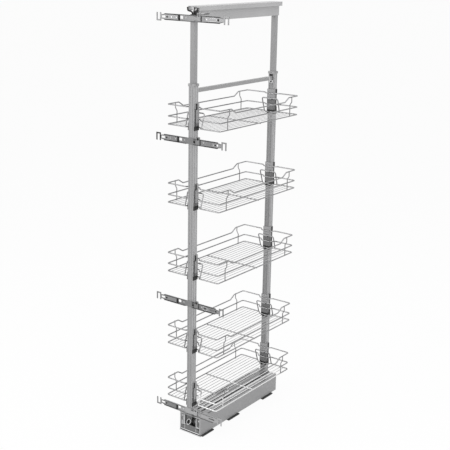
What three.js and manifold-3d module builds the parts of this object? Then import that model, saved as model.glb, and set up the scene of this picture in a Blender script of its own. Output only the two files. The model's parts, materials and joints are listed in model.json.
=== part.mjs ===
// Pull-out larder unit: a tall frame on a sliding base, with five hanging wire baskets.
// Millimetres, +X to the right, +Y to the back, +Z up.
// The origin is on the floor, below the middle of the carriage's front edge.
import * as THREE from 'three';
import { mergeVertices } from 'three/addons/utils/BufferGeometryUtils.js';
import Module from 'manifold-3d';

const wasm = await Module();
wasm.setup();

// ---------------------------------------------------------------- driving dimensions

// Clearances
const seatGap = 0.3;            // between pieces that are assembled against each other
const runningGap = 0.5;         // between pieces that slide past each other
const past = 1;                 // how far a cutter reaches past the face that it opens

// Feet and floor pan, fixed to the cabinet floor
const footWidth = 122;
const footLength = 77;
const footHeight = 5;
const frontFootStart = 8.5;          // front edges of the feet
const middleFootStart = 191;
const rearFootSetback = 113;         // from the rear foot's front edge to the carriage's rear edge
const floorScrewRadius = 2.6;
const floorScrewX = 16;
const panRearMargin = 1;             // the pan runs this far past the slides
const panSideGap = 2.5;              // from the pan's edge to the carriage's side
const panWallHalf = 30.5;            // outer faces of the two upright walls
const panWallHeight = 68;
const panLipHeight = 7;
const apronReach = 2.5;              // the pan's apron stands this far in front of the carriage
const apronFlange = 10;              // depth of its flange along the floor

// Carriage: an inverted tray of folded sheet
const sheet = 1.5;
const carriageWidth = 108;
const carriageLength = 560;
const carriageHeight = 80;
const returnWidth = 5.5;             // folded returns at the front and rear edges
const frontLip = 6;
const topSlots = [[-11.5, -6.5], [2, 13]];   // left and right edges of the long slots in the top
const topSlotStart = 60;
const topSlotLength = 204;
const topSlotPitch = 222;
const topSlotCount = 2;

// Telescopic slides, three members on each side
const slideBottom = 30;
const slideHeight = 46;
const slideWall = 2;
const slideFlange = 6.5;
const slideSideGap = 2.5;
const slideStart = 3;
const slideSetback = 21;             // from the slides' rear ends to the carriage's rear edge
const ballTrackGap = 0.4;

// Soft-close unit
const softCloseX = [3, 25];
const softCloseStart = 12;
const softCloseLength = 170;
const softCloseHeight = 62;
const damperRadius = 7;
const damperLength = 118;
const catchX = [-22, -4];
const catchStart = 6;
const catchHeight = 48;
const catchStrap = 3;
const catchDepth = 12;

// Posts
const frontPostInset = 6.5;          // from the carriage's front edge to the front post's axis
const rearPostInset = 20.5;          // from the rear post's axis to the carriage's rear edge
const postSize = 26;
const postBore = 21;
const postTop = 1454.5;
const grooveOffset = 6.5;            // from the middle of a face
const grooveWidth = 2;
const grooveDepth = 1;
const innerTubeSize = 20;
const innerTubeWall = 1.5;
const innerTubeOverlap = 350;        // length that stays inside the outer post
const shoePlate = 2;
const shoeWidth = 52;
const shoeLength = 62;
const shoeRing = 6;
const shoeWall = 3;
const collarSize = 30;
const collarHeight = 10;
const collarSeat = 6;                // depth of the seat over the post's end
const crossBarSize = 15;
const crossBarBelowCollar = 10;
const lockScrewRadius = 3.5;
const lockScrewHead = 4;
const lockScrewBelowBar = 7;

// Upper frame and top rail
const beamBottom = 1687.5;
const beamHeight = 39;
const beamWidth = 26;
const beamRearOverhang = 12;         // past the rear tube's axis
const beamSlotLength = 65;
const beamSlotHeight = 4;
const railWidth = 54;
const railHeight = 16.5;
const railLip = 5;
const railStart = 4;
const railSetback = 7;               // from the rail's rear end to the carriage's rear edge
const railScrewRadius = 2.75;
const railScrewShares = [0.1, 0.5, 0.9];   // places along the rail
const guideWidth = 12;
const guideLength = 16;
const guideHeight = 16;
const guideCap = 3;                  // thickness of its cap over the front tube
const rearGuideHeight = 4;
const rearGuideSetback = 20;         // from the rear guide's middle to the beam's rear end
const guideBallRadius = 2.2;
const guideHubRadius = 2.8;
const guideArmRadius = 1.4;
const guideArmRoot = 4;              // from the middle to where an arm leaves the body
const guideArmDepth = 2;             // how deep an arm is set in the body
const guideBend = 2.5;               // height of an arm's bend above the body
const guideRise = 7.5;               // ball centres above the guide's body
const guideSweep = 5;                // balls sit this far in front of the body's middle

// Baskets
const basketHeights = [1289.5, 976, 688, 374, 138];   // axes of the bottom rails, top basket first
const basketHalfWidth = 128;
const basketCorner = 8;
const railRadius = 2.5;
const midRailRise = 31.4;
const topRailRise = 77.7;
const dipRise = 61;
const dipSetback = 96.5;             // from a basket's end to where its long sides are low
const dipRun = 28;                   // length of the slope from low to high
const notchOuter = 36;
const notchInner = 21;
const notchFillet = 6;
const floorWireSize = 2.4;
const floorWirePitch = 18;
const floorWiresPerSide = 6;
const crossWireDrop = 2.7;           // the cross wire's axis, below the bottom rail's axis
const stayRadius = 2;
const stayWeld = 1.2;                // how deep a stay is welded into the rails
const staySetback = 52.5;            // side stays, from the end of the basket
const hangerFoot = 38.5;
const hangerTop = 39.5;
const hangerRise = 57;
const hangerBend = 8;

// Basket hooks
const hookWeb = 2.2;
const hookPlate = 3;
const hookPlateReach = 7.5;          // side plates reach this far past the post's axis
const hookBelow = 9;
const hookAbove = 38;
const hookClipHeight = 29;           // height of the clip that covers the post's whole side
const hookArmHalf = 9;
const hookFloor = 3;
const wireGap = 0.4;

// Door brackets
const topBracketRise = 11.5;           // the top bracket's middle, above the beam's bottom
const lowerBracketHeights = [1240, 578.5, 107];
const bracketBarHalf = 130;
const bracketBarHeight = 24.6;
const bracketWall = 2;
const bracketFlange = 4.7;
const bracketSquareHole = { across: [-57, -43], up: [-4, 7] };
const bracketRoundHoles = [-30, 60];
const bracketHoleRadius = 2.5;
const bracketHoleRise = 1;
const bracketSlotStart = 100;        // open slots at the bar's ends, for the arms' screws
const bracketSlotHalf = 4;
const armInner = 64;
const armShoulder = 130;             // where an arm begins to narrow towards its fork
const forkInner = 148;
const forkWidth = 23;
const forkRise = 16;
const forkDrop = 15;
const forkProng = 5.5;
const armNeckHeight = 14;
const eyeWindow = [127, 145];        // openings in the arms, by distance from the middle
const squareWindow = [119, 127];
const shortWindow = [125, 133];
const longWindow = [103, 137];
const armWindowHalf = 4;
const clampWidth = 17;
const clampReach = 16;               // from the post's side to the clamp's block
const clampRise = 21;
const clampDrop = 9;
const clampStrap = 12;
const clampDepth = 19.5;
const windowWidth = 14;              // opening in the bar for the clamp's hook
const flangeGapLeft = 6;             // the lower bars have no flanges in front of the post,
const flangeGapRight = 1;            // and for these lengths beside it

// ---------------------------------------------------------------- derived places

const carriageBottom = footHeight + runningGap;
const carriageTop = carriageBottom + carriageHeight;
const carriageHalf = carriageWidth / 2;
const carriageInside = carriageHalf - sheet;
const panTop = footHeight + sheet;
const footStarts = [frontFootStart, middleFootStart, carriageLength - rearFootSetback];
const slideLength = carriageLength - slideStart - slideSetback;
const panEnd = slideStart + slideLength + panRearMargin;
const frontPostY = frontPostInset;
const rearPostY = carriageLength - rearPostInset;
const postSpacing = rearPostY - frontPostY;
const frameCentreY = (frontPostY + rearPostY) / 2;
const postHalf = postSize / 2;
const tubeHalf = innerTubeSize / 2;
const collarBottom = postTop - collarSeat;
const collarTop = collarBottom + collarHeight;
const beamTop = beamBottom + beamHeight;
const guideBottom = beamTop - guideHeight;
const innerTubeBottom = postTop - innerTubeOverlap;
const crossBarTop = collarBottom - crossBarBelowCollar;
const railEnd = carriageLength - railSetback;
const bracketHeights = [beamBottom + topBracketRise, ...lowerBracketHeights];  // top one first

// A rail passes the post this far inside the post's own axis.
const passOffset = postHalf + seatGap + hookWeb + wireGap + railRadius;

// ---------------------------------------------------------------- finishes

function finish(color, roughness, metalness) {
  return new THREE.MeshStandardMaterial({ color, roughness, metalness });
}

const paintedSteel = finish(0x9b9c9d, 0.45, 0.35);
const zincSteel = finish(0xb4b7ba, 0.38, 0.85);
const brightWire = finish(0xc6c8ca, 0.22, 1.0);
const blackPlastic = finish(0x26272a, 0.6, 0.0);
const greyPlastic = finish(0x96979a, 0.5, 0.0);

// ---------------------------------------------------------------- solid helpers

// A closed geometry as a solid that can be joined and cut.
function solid(geometry) {
  geometry.deleteAttribute('normal');
  geometry.deleteAttribute('uv');
  const merged = mergeVertices(geometry, 1e-4);
  return new wasm.Manifold(new wasm.Mesh({
    numProp: 3,
    vertProperties: new Float32Array(merged.attributes.position.array),
    triVerts: new Uint32Array(merged.index.array),
  }));
}

function geometryOf(body) {
  const mesh = body.getMesh();
  const geometry = new THREE.BufferGeometry();
  geometry.setAttribute('position', new THREE.BufferAttribute(mesh.vertProperties, 3));
  geometry.setIndex(new THREE.BufferAttribute(mesh.triVerts, 1));
  geometry.computeVertexNormals();
  return geometry;
}

function join(bodies) {
  return bodies.reduce((whole, body) => whole.add(body));
}

function cut(body, tools) {
  return tools.reduce((rest, tool) => rest.subtract(tool), body);
}

// A block between two values along each axis, in either order.
function block(x, y, z) {
  const spans = [x, y, z];
  const geometry = new THREE.BoxGeometry(...spans.map(([a, b]) => Math.abs(b - a)));
  geometry.translate(...spans.map(([a, b]) => (a + b) / 2));
  return solid(geometry);
}

function shapeOf(points) {
  return new THREE.Shape(points.map(([a, b]) => new THREE.Vector2(a, b)));
}

// An outline drawn in (y, z), (x, z) or (x, y) and pushed along the remaining axis.
function prism(points, axis, from, to) {
  const geometry = new THREE.ExtrudeGeometry(shapeOf(points), { depth: to - from, bevelEnabled: false });
  if (axis === 'x') {
    const turn = new THREE.Matrix4().makeBasis(
      new THREE.Vector3(0, 1, 0), new THREE.Vector3(0, 0, 1), new THREE.Vector3(1, 0, 0));
    geometry.applyMatrix4(turn).translate(from, 0, 0);
  } else if (axis === 'y') {
    geometry.rotateX(Math.PI / 2).translate(0, to, 0);
  } else {
    geometry.translate(0, 0, from);
  }
  return solid(geometry);
}

// A round bar along one axis; at holds the two other coordinates in x, y, z order.
function rod(axis, at, radius, from, to, sides = 12) {
  const geometry = new THREE.CylinderGeometry(radius, radius, to - from, sides);
  const middle = (from + to) / 2;
  if (axis === 'x') geometry.rotateZ(Math.PI / 2).translate(middle, at[0], at[1]);
  else if (axis === 'y') geometry.translate(at[0], middle, at[1]);
  else geometry.rotateX(Math.PI / 2).translate(at[0], at[1], middle);
  return solid(geometry);
}

function ball(centre, radius) {
  const geometry = new THREE.SphereGeometry(radius, 8, 6);
  geometry.translate(...centre);
  return solid(geometry);
}

function square(half) {
  return [[-half, -half], [half, -half], [half, half], [-half, half]];
}

// ---------------------------------------------------------------- bent wire

// A path through given points, one step for each point, with the section
// turned halfway between the two directions at every bend.
class WirePath extends THREE.Curve {
  constructor(points, closed = false) {
    super();
    this.points = points;
    this.closed = closed;
    this.spans = closed ? points.length : points.length - 1;
  }

  vertex(index) {
    return this.points[(index + this.points.length) % this.points.length];
  }

  getPoint(t, target = new THREE.Vector3()) {
    const place = t * this.spans;
    const start = Math.min(Math.floor(place), this.spans - 1);
    return target.copy(this.vertex(start)).lerp(this.vertex(start + 1), place - start);
  }

  getPointAt(u, target) {
    return this.getPoint(u, target);
  }

  getTangent(t, target = new THREE.Vector3()) {
    const index = Math.round(t * this.spans);
    const before = this.closed || index > 0 ? index - 1 : index;
    const after = this.closed || index < this.spans ? index + 1 : index;
    const incoming = this.vertex(index).clone().sub(this.vertex(before)).normalize();
    const outgoing = this.vertex(after).clone().sub(this.vertex(index)).normalize();
    return target.copy(incoming).add(outgoing).normalize();
  }

  getTangentAt(u, target) {
    return this.getTangent(u, target);
  }
}

// Replaces each corner [point, radius, steps] by a round bend.
function bendCorners(corners, closed) {
  const points = [];
  corners.forEach(([corner, radius, steps], index) => {
    const isEnd = !closed && (index === 0 || index === corners.length - 1);
    if (isEnd || radius === 0) {
      points.push(corner.clone());
      return;
    }
    const before = corners[(index - 1 + corners.length) % corners.length][0];
    const after = corners[(index + 1) % corners.length][0];
    const incoming = corner.clone().sub(before).normalize();
    const outgoing = after.clone().sub(corner).normalize();
    const turn = incoming.angleTo(outgoing);
    const start = corner.clone().addScaledVector(incoming, -radius * Math.tan(turn / 2));
    const inward = outgoing.clone().addScaledVector(incoming, -incoming.dot(outgoing)).normalize();
    const centre = start.clone().addScaledVector(inward, radius);
    for (let step = 0; step <= steps; step += 1) {
      const angle = (turn * step) / steps;
      points.push(centre.clone()
        .addScaledVector(inward, -radius * Math.cos(angle))
        .addScaledVector(incoming, radius * Math.sin(angle)));
    }
  });
  return points;
}

function openWire(corners, radius, sides = 4) {
  const points = bendCorners(corners, false);
  const section = new THREE.Path().absarc(0, 0, radius, 0, 2 * Math.PI).getPoints(sides).slice(0, sides);
  const geometry = new THREE.ExtrudeGeometry(new THREE.Shape(section), {
    steps: points.length - 1, bevelEnabled: false, extrudePath: new WirePath(points),
  });
  return solid(geometry);
}

function closedWire(corners, radius, sides = 4) {
  const points = bendCorners(corners, true);
  return solid(new THREE.TubeGeometry(new WirePath(points, true), points.length, radius, sides, true));
}

const at = (x, y, z) => new THREE.Vector3(x, y, z);

// ---------------------------------------------------------------- assembly helpers

const unit = new THREE.Group();

function place(name, body, material, parent = unit) {
  const mesh = new THREE.Mesh(geometryOf(body), material);
  mesh.name = name;
  parent.add(mesh);
}

function groupAt(x, y, z, parent = unit) {
  const group = new THREE.Group();
  group.position.set(x, y, z);
  parent.add(group);
  return group;
}

const sides = [['left', -1], ['right', 1]];

// ---------------------------------------------------------------- floor parts

function floorScrewHoles(start) {
  const holeY = start + footLength / 2;
  return [-1, 1].map((side) => rod(
    'z', [side * floorScrewX, holeY], floorScrewRadius, -past, panTop + past, 6));
}

function foot(start) {
  const plate = block([-footWidth / 2, footWidth / 2], [start, start + footLength], [0, footHeight]);
  return cut(plate, floorScrewHoles(start));
}

// A tray with two upright walls that carry the fixed slide members, and an apron down to the floor.
function floorPan() {
  const edge = carriageInside - panSideGap;
  const wallTop = panTop + panWallHeight;
  const wallInside = panWallHalf - sheet;
  const section = [
    [-edge, footHeight], [edge, footHeight], [edge, panTop],
    [panWallHalf, panTop], [panWallHalf, wallTop], [wallInside, wallTop], [wallInside, panTop],
    [-wallInside, panTop], [-wallInside, wallTop], [-panWallHalf, wallTop], [-panWallHalf, panTop],
    [-edge, panTop],
  ];
  const tray = prism(section, 'y', sheet, panEnd);
  const lip = block([-edge, edge], [0, sheet], [footHeight, footHeight + panLipHeight]);
  const across = [-carriageHalf, carriageHalf];
  const apron = block(across, [-apronReach, sheet], [0, footHeight]);
  const flange = block(across, [-apronReach, -apronReach + apronFlange], [0, sheet]);
  return cut(join([tray, lip, apron, flange]), footStarts.flatMap(floorScrewHoles));
}

// ---------------------------------------------------------------- slides

// One side's channel, with its web at webFace and its flanges reaching towards the other member.
function slideChannel(webFace, reach, start) {
  const web = [webFace, webFace + Math.sign(reach) * slideWall];
  const flange = [webFace, webFace + reach];
  const span = [start, start + slideLength];
  const top = slideBottom + slideHeight;
  return join([
    block(web, span, [slideBottom, top]),
    block(flange, span, [slideBottom, slideBottom + slideWall]),
    block(flange, span, [top - slideWall, top]),
  ]);
}

function slideTube(inner, outer, start) {
  const low = slideBottom + slideWall + ballTrackGap;
  const high = slideBottom + slideHeight - slideWall - ballTrackGap;
  const span = [start, start + slideLength];
  const bore = [start - past, start + slideLength + past];
  const shell = block([inner, outer], span, [low, high]);
  const shift = Math.sign(outer - inner) * slideWall;
  return shell.subtract(block([inner + shift, outer - shift], bore, [low + slideWall, high - slideWall]));
}

function buildSlides() {
  const reach = slideWall + slideFlange;
  const start = slideStart;
  sides.forEach(([name, side]) => {
    const fixedWeb = side * panWallHalf;
    const movingWeb = side * carriageInside;
    const inner = side * (panWallHalf + slideWall + slideSideGap);
    const outer = side * (carriageInside - slideWall - slideSideGap);
    place(`slide_${name}_fixed`, slideChannel(fixedWeb, side * reach, start), zincSteel);
    place(`slide_${name}_middle`, slideTube(inner, outer, start), zincSteel);
    place(`slide_${name}_moving`, slideChannel(movingWeb, -side * reach, start), zincSteel);
  });
}

// ---------------------------------------------------------------- soft-close unit

// An upright outline with a round top.
function archOutline(left, right, bottom, top, steps = 6) {
  const radius = (right - left) / 2;
  const middle = (left + right) / 2;
  const points = [[left, bottom], [right, bottom]];
  for (let step = 0; step <= steps; step += 1) {
    const angle = (Math.PI * step) / steps;
    points.push([middle + radius * Math.cos(angle), top - radius + radius * Math.sin(angle)]);
  }
  return points;
}

function buildSoftClose() {
  const end = softCloseStart + softCloseLength;
  const [left, right] = softCloseX;
  const housingOutline = archOutline(left, right, panTop, panTop + softCloseHeight);
  place('soft_close_housing', prism(housingOutline, 'y', softCloseStart, end), blackPlastic);

  const damperAt = [(left + right) / 2, panTop + softCloseHeight / 2];
  const damper = rod('y', damperAt, damperRadius, end + seatGap, end + seatGap + damperLength);
  place('soft_close_damper', damper, zincSteel);

  const catchSpan = [catchStart, catchStart + catchDepth];
  const outside = archOutline(catchX[0], catchX[1], panTop, panTop + catchHeight);
  const inside = archOutline(
    catchX[0] + catchStrap, catchX[1] - catchStrap, panTop - past, panTop + catchHeight - catchStrap);
  const strap = prism(outside, 'y', ...catchSpan)
    .subtract(prism(inside, 'y', catchSpan[0] - past, catchSpan[1] + past));
  const tie = block([catchX[0] + sheet, catchX[1] - sheet], catchSpan, [panTop, panTop + catchStrap]);
  place('soft_close_catch', strap.add(tie), zincSteel);
}

// ---------------------------------------------------------------- carriage

function carriageBox() {
  const inside = carriageInside;
  const section = [
    [-carriageHalf, carriageBottom], [-inside, carriageBottom], [-inside, carriageTop - sheet],
    [inside, carriageTop - sheet], [inside, carriageBottom], [carriageHalf, carriageBottom],
    [carriageHalf, carriageTop], [-carriageHalf, carriageTop],
  ];
  const overlap = sheet / 2;
  const folds = [
    block([-inside - overlap, inside + overlap], [0, sheet], [carriageTop - frontLip, carriageTop]),
  ];
  const frontReturnBottom = footHeight + panLipHeight + runningGap;
  const rearReturnBottom = panTop + runningGap;
  sides.forEach(([, side]) => {
    const across = [side * (carriageHalf - overlap), side * (carriageHalf - returnWidth)];
    folds.push(block(across, [0, sheet], [frontReturnBottom, carriageTop]));
    folds.push(block(across, [carriageLength - sheet, carriageLength], [rearReturnBottom, carriageTop]));
  });
  const slots = [];
  const through = [carriageTop - sheet - past, carriageTop + past];
  for (let index = 0; index < topSlotCount; index += 1) {
    const start = topSlotStart + index * topSlotPitch;
    topSlots.forEach((across) => slots.push(block(across, [start, start + topSlotLength], through)));
  }
  return cut(join([prism(section, 'y', 0, carriageLength), ...folds]), slots);
}

// ---------------------------------------------------------------- posts

// A square outline with two grooves in each face.
function groovedOutline(half) {
  const face = [];
  [-grooveOffset, grooveOffset].forEach((middle) => {
    face.push([middle - grooveWidth / 2, -half], [middle - grooveWidth / 2, -half + grooveDepth]);
    face.push([middle + grooveWidth / 2, -half + grooveDepth], [middle + grooveWidth / 2, -half]);
  });
  const outline = [];
  for (let quarter = 0; quarter < 4; quarter += 1) {
    const angle = (quarter * Math.PI) / 2;
    const cosine = Math.round(Math.cos(angle));
    const sine = Math.round(Math.sin(angle));
    [[-half, -half], ...face].forEach(([x, y]) => {
      outline.push([x * cosine - y * sine, x * sine + y * cosine]);
    });
  }
  return outline;
}

function outerPost() {
  const tube = prism(groovedOutline(postHalf), 'z', carriageTop, postTop);
  return tube.subtract(prism(square(postBore / 2), 'z', carriageTop - past, postTop + past));
}

function innerTube(top) {
  const tube = prism(square(tubeHalf), 'z', innerTubeBottom, top);
  const bore = prism(square(tubeHalf - innerTubeWall), 'z', innerTubeBottom - past, top + past);
  return tube.subtract(bore);
}

// A foot plate with a low ring round the post; inward is +1 towards the back, -1 towards the front.
function postShoe(inward) {
  const inside = postHalf + seatGap;
  const ringHalf = inside + shoeWall;
  const edge = -ringHalf * inward;
  const plate = block([-shoeWidth / 2, shoeWidth / 2], [edge, edge + shoeLength * inward],
    [carriageTop, carriageTop + shoePlate]);
  const ring = prism(square(ringHalf), 'z', carriageTop, carriageTop + shoeRing);
  const hole = prism(square(inside), 'z', carriageTop - past, carriageTop + shoeRing + past);
  return plate.add(ring).subtract(hole);
}

function collar() {
  const shell = prism(square(collarSize / 2), 'z', collarBottom, collarTop);
  const seat = prism(square(postHalf + seatGap), 'z', collarBottom - past, postTop + seatGap);
  const bore = prism(square(tubeHalf + seatGap), 'z', collarBottom, collarTop + past);
  return cut(shell, [seat, bore]);
}

function lockScrew(inward) {
  const face = inward * (postHalf + seatGap);
  const tip = face + inward * lockScrewHead;
  const height = crossBarTop - crossBarSize - lockScrewBelowBar;
  return rod('y', [0, height], lockScrewRadius, Math.min(face, tip), Math.max(face, tip), 8);
}

function buildPosts() {
  [['front', frontPostY, 1], ['rear', rearPostY, -1]].forEach(([name, y, inward]) => {
    const post = groupAt(0, y, 0);
    place(`${name}_post`, outerPost(), paintedSteel, post);
    place(`${name}_post_shoe`, postShoe(inward), zincSteel, post);
    place(`${name}_collar`, collar(), paintedSteel, post);
    place(`${name}_lock_screw`, lockScrew(inward), zincSteel, post);
  });
  const reach = postHalf + seatGap;
  const half = crossBarSize / 2;
  const bar = block([-half, half], [frontPostY + reach, rearPostY - reach],
    [crossBarTop - crossBarSize, crossBarTop]);
  place('cross_bar', bar, paintedSteel);
}

// ---------------------------------------------------------------- upper frame and top rail

function topBeam() {
  const half = beamWidth / 2;
  const start = frontPostY + tubeHalf + seatGap;
  const end = rearPostY + beamRearOverhang;
  const shell = block([-half, half], [start, end], [beamBottom, beamTop]);
  const inside = block(
    [-half + sheet, half - sheet], [start - past, end + past], [beamBottom - past, beamTop - sheet]);
  const guideEnd = frontPostY + guideLength - tubeHalf / 2 + seatGap;
  const across = [-half - past, half + past];
  const guideRoom = block(across, [start - past, guideEnd], [guideBottom - seatGap, beamTop + past]);
  const slotSpan = [guideEnd - past, guideEnd + beamSlotLength];
  const slot = block(across, slotSpan, [guideBottom, guideBottom + beamSlotHeight]);
  return cut(shell, [inside, guideRoom, slot]);
}

// A block from one height to another, with two arms whose ball ends run inside the top rail.
function guideHead(middle, bottom, top) {
  const half = guideWidth / 2;
  const ballHeight = beamTop + guideRise;
  const ballX = railWidth / 2 - sheet - seatGap - guideBallRadius;
  const ballY = middle - guideSweep;
  const parts = [
    block([-half, half], [middle - guideLength / 2, middle + guideLength / 2], [bottom, top]),
    rod('z', [0, middle], guideBallRadius, top - guideArmDepth, ballHeight, 6),
    ball([0, middle, ballHeight], guideHubRadius),
  ];
  sides.forEach(([, side]) => {
    const arm = [
      [at(side * guideArmRoot, middle, top - guideArmDepth), 0, 0],
      [at(side * half, middle - guideSweep / 2, top + guideBend), 0, 0],
      [at(side * ballX, ballY, ballHeight), 0, 0],
    ];
    parts.push(openWire(arm, guideArmRadius));
    parts.push(ball([side * ballX, ballY, ballHeight], guideBallRadius));
  });
  return join(parts);
}

// The front guide has a cap that closes the front tube.
function topGuide() {
  const across = [-tubeHalf, tubeHalf];
  const along = [frontPostY - tubeHalf, frontPostY + tubeHalf];
  const cap = block(across, along, [guideBottom, guideBottom + guideCap]);
  const middle = frontPostY - tubeHalf / 2 + guideLength / 2;
  return cap.add(guideHead(middle, guideBottom, beamTop));
}

// The rear guide stands on the beam and stays inside the rail when the unit is pulled out.
function topGuideRear() {
  const middle = rearPostY + beamRearOverhang - rearGuideSetback;
  return guideHead(middle, beamTop + seatGap, beamTop + rearGuideHeight);
}

function topRail() {
  const half = railWidth / 2;
  const inside = half - sheet;
  const top = beamTop + railHeight;
  const section = [
    [-half, beamTop], [-half + sheet + railLip, beamTop], [-half + sheet + railLip, beamTop + sheet],
    [-inside, beamTop + sheet], [-inside, top - sheet], [inside, top - sheet], [inside, beamTop + sheet],
    [half - sheet - railLip, beamTop + sheet], [half - sheet - railLip, beamTop], [half, beamTop],
    [half, top], [-half, top],
  ];
  const through = [top - sheet - past, top + past];
  const holes = railScrewShares.map((share) => rod(
    'z', [0, railStart + (railEnd - railStart) * share], railScrewRadius, ...through, 8));
  return cut(prism(section, 'y', railStart, railEnd), holes);
}

function buildUpperFrame() {
  place('front_inner_tube', innerTube(guideBottom - seatGap), paintedSteel, groupAt(0, frontPostY, 0));
  place('rear_inner_tube', innerTube(beamTop - sheet - seatGap), paintedSteel, groupAt(0, rearPostY, 0));
  place('top_beam', topBeam(), paintedSteel);
  place('top_guide', topGuide(), blackPlastic);
  place('top_guide_rear', topGuideRear(), blackPlastic);
  place('top_rail', topRail(), paintedSteel);
}

// ---------------------------------------------------------------- baskets

const basketEnd = postSpacing / 2;
const basketPass = basketEnd - passOffset;
const dipEnd = basketEnd - dipSetback;
const dipStart = dipEnd + dipRun;

// Half of a rail's corners, from the middle of one end to the other end; turn is +1 or -1.
function railCorners(turn, endRise, dip) {
  const far = turn * basketEnd;
  const near = turn * basketPass;
  const corner = (x, y, z, radius, steps) => [at(x * turn, y, z), radius, steps];
  const corners = [
    corner(-notchInner, near, endRise, notchFillet, 1),
    corner(notchInner, near, endRise, notchFillet, 1),
    corner(notchOuter, far, endRise, notchFillet, 1),
    corner(basketHalfWidth, far, endRise, basketCorner, 3),
  ];
  if (dip) {
    const bend = dipRun / 4;
    corners.push(corner(basketHalfWidth, turn * dipStart, endRise, bend, 1));
    corners.push(corner(basketHalfWidth, turn * dipEnd, dipRise, bend, 1));
    corners.push(corner(basketHalfWidth, -turn * dipEnd, dipRise, bend, 1));
    corners.push(corner(basketHalfWidth, -turn * dipStart, endRise, bend, 1));
  }
  corners.push(corner(basketHalfWidth, -far, endRise, basketCorner, 3));
  corners.push(corner(notchOuter, -far, endRise, notchFillet, 1));
  return corners;
}

function basketRail(rise, dip = false) {
  return closedWire([...railCorners(1, rise, dip), ...railCorners(-1, rise, dip)], railRadius);
}

// The wire arch at each end, which leans inwards round the post and hangs on the hook.
function hanger(turn) {
  const foot = turn * basketEnd;
  const top = turn * basketPass;
  return openWire([
    [at(-hangerFoot, foot, 0), 0, 0],
    [at(-hangerTop, top, hangerRise), hangerBend, 2],
    [at(hangerTop, top, hangerRise), hangerBend, 2],
    [at(hangerFoot, foot, 0), 0, 0],
  ], railRadius);
}

function basketFloor() {
  const half = floorWireSize / 2;
  const wires = [];
  for (let index = -floorWiresPerSide; index <= floorWiresPerSide; index += 1) {
    const x = index * floorWirePitch;
    const end = Math.abs(x) < (notchInner + notchOuter) / 2 ? basketPass : basketEnd;
    wires.push(block([x - half, x + half], [-end, end], [0, floorWireSize]));
  }
  const crossWire = rod('x', [0, -crossWireDrop], railRadius, -basketHalfWidth, basketHalfWidth, 4);
  return [...wires, crossWire];
}

function sideStays() {
  const x = basketHalfWidth - railRadius - stayRadius + stayWeld;
  const y = basketEnd - staySetback;
  const spots = sides.flatMap(([, side]) => [[side * x, -y], [side * x, y]]);
  return spots.map((spot) => rod('z', spot, stayRadius, 0, topRailRise, 4));
}

function basket() {
  return join([
    basketRail(0), basketRail(midRailRise), basketRail(topRailRise, true),
    hanger(1), hanger(-1), ...basketFloor(), ...sideStays(),
  ]);
}

// A plastic hook that clips round the post; inward is +1 towards the back, -1 towards the front.
function basketHook(inward) {
  const plateInner = postHalf + seatGap;
  const plateOuter = plateInner + hookPlate;
  const webFace = inward * plateInner;
  const webBack = inward * (plateInner + hookWeb);
  const cradleLow = hangerRise - railRadius - seatGap;
  const lipStart = inward * (passOffset + railRadius + wireGap);
  const lipEnd = lipStart + inward * hookWeb;
  const body = [-hookBelow, hangerRise + hookAbove];
  const clip = [-hookBelow, -hookBelow + hookClipHeight];
  const parts = [block([-plateOuter, plateOuter], [webFace, webBack], body)];
  sides.forEach(([, side]) => {
    const plate = [side * plateInner, side * plateOuter];
    parts.push(block(plate, [-inward * hookPlateReach, webBack], body));
    parts.push(block(plate, [-inward * postHalf, webBack], clip));
  });
  const arm = [-hookArmHalf, hookArmHalf];
  const webMid = (webFace + webBack) / 2;
  parts.push(block(arm, [webMid, lipEnd], [cradleLow - hookFloor, cradleLow]));
  parts.push(block(arm, [lipStart, lipEnd], [cradleLow - hookFloor, hangerRise]));
  const shelfTop = -railRadius - seatGap;
  parts.push(block(arm, [webMid, lipEnd], [shelfTop - hookFloor, shelfTop]));
  return join(parts);
}

function buildBaskets() {
  const body = basket();
  const hooks = [['front', frontPostY, basketHook(1)], ['rear', rearPostY, basketHook(-1)]];
  basketHeights.forEach((height, index) => {
    const number = index + 1;
    place(`basket_${number}`, body, brightWire, groupAt(0, frameCentreY, height));
    hooks.forEach(([name, y, hook]) => {
      place(`hook_${number}_${name}`, hook, greyPlastic, groupAt(0, y, height));
    });
  });
}

// ---------------------------------------------------------------- door brackets

// The middle channel; half is half the width of the post that it is clamped to.
function bracketBar(half, gapped) {
  const back = -seatGap;
  const front = back - bracketWall;
  const edge = bracketBarHeight / 2;
  const lip = front - bracketFlange;
  const length = [-bracketBarHalf, bracketBarHalf];
  const channel = join([
    block(length, [back, front], [-edge, edge]),
    block(length, [back, lip], [edge - bracketWall, edge]),
    block(length, [back, lip], [-edge, -edge + bracketWall]),
  ]);
  const through = [back + past, front - past];
  const clampStart = half + clampReach;
  const strap = clampStrap / 2 + past;
  const roundHoles = bracketRoundHoles.map((x) => rod(
    'y', [x, bracketHoleRise], bracketHoleRadius, through[1], through[0], 6));
  const flanges = [front, lip - past];
  const gap = [-half - flangeGapLeft, half + flangeGapRight];
  const gaps = gapped ? [-1, 1].map((edgeSide) => block(
    gap, flanges, [edgeSide * (edge - bracketWall), edgeSide * (edge + past)])) : [];
  return cut(channel, [
    ...gaps,
    block([half, half + windowWidth], through, [-strap, strap]),
    block([clampStart - seatGap, clampStart + clampWidth + seatGap], flanges,
      [edge - bracketWall - past, edge + past]),
    block(bracketSquareHole.across, through, bracketSquareHole.up),
    ...sides.map(([, side]) => block([side * bracketSlotStart, side * (bracketBarHalf + past)], through,
      [-bracketSlotHalf, bracketSlotHalf])),
    ...roundHoles,
  ]);
}

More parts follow.
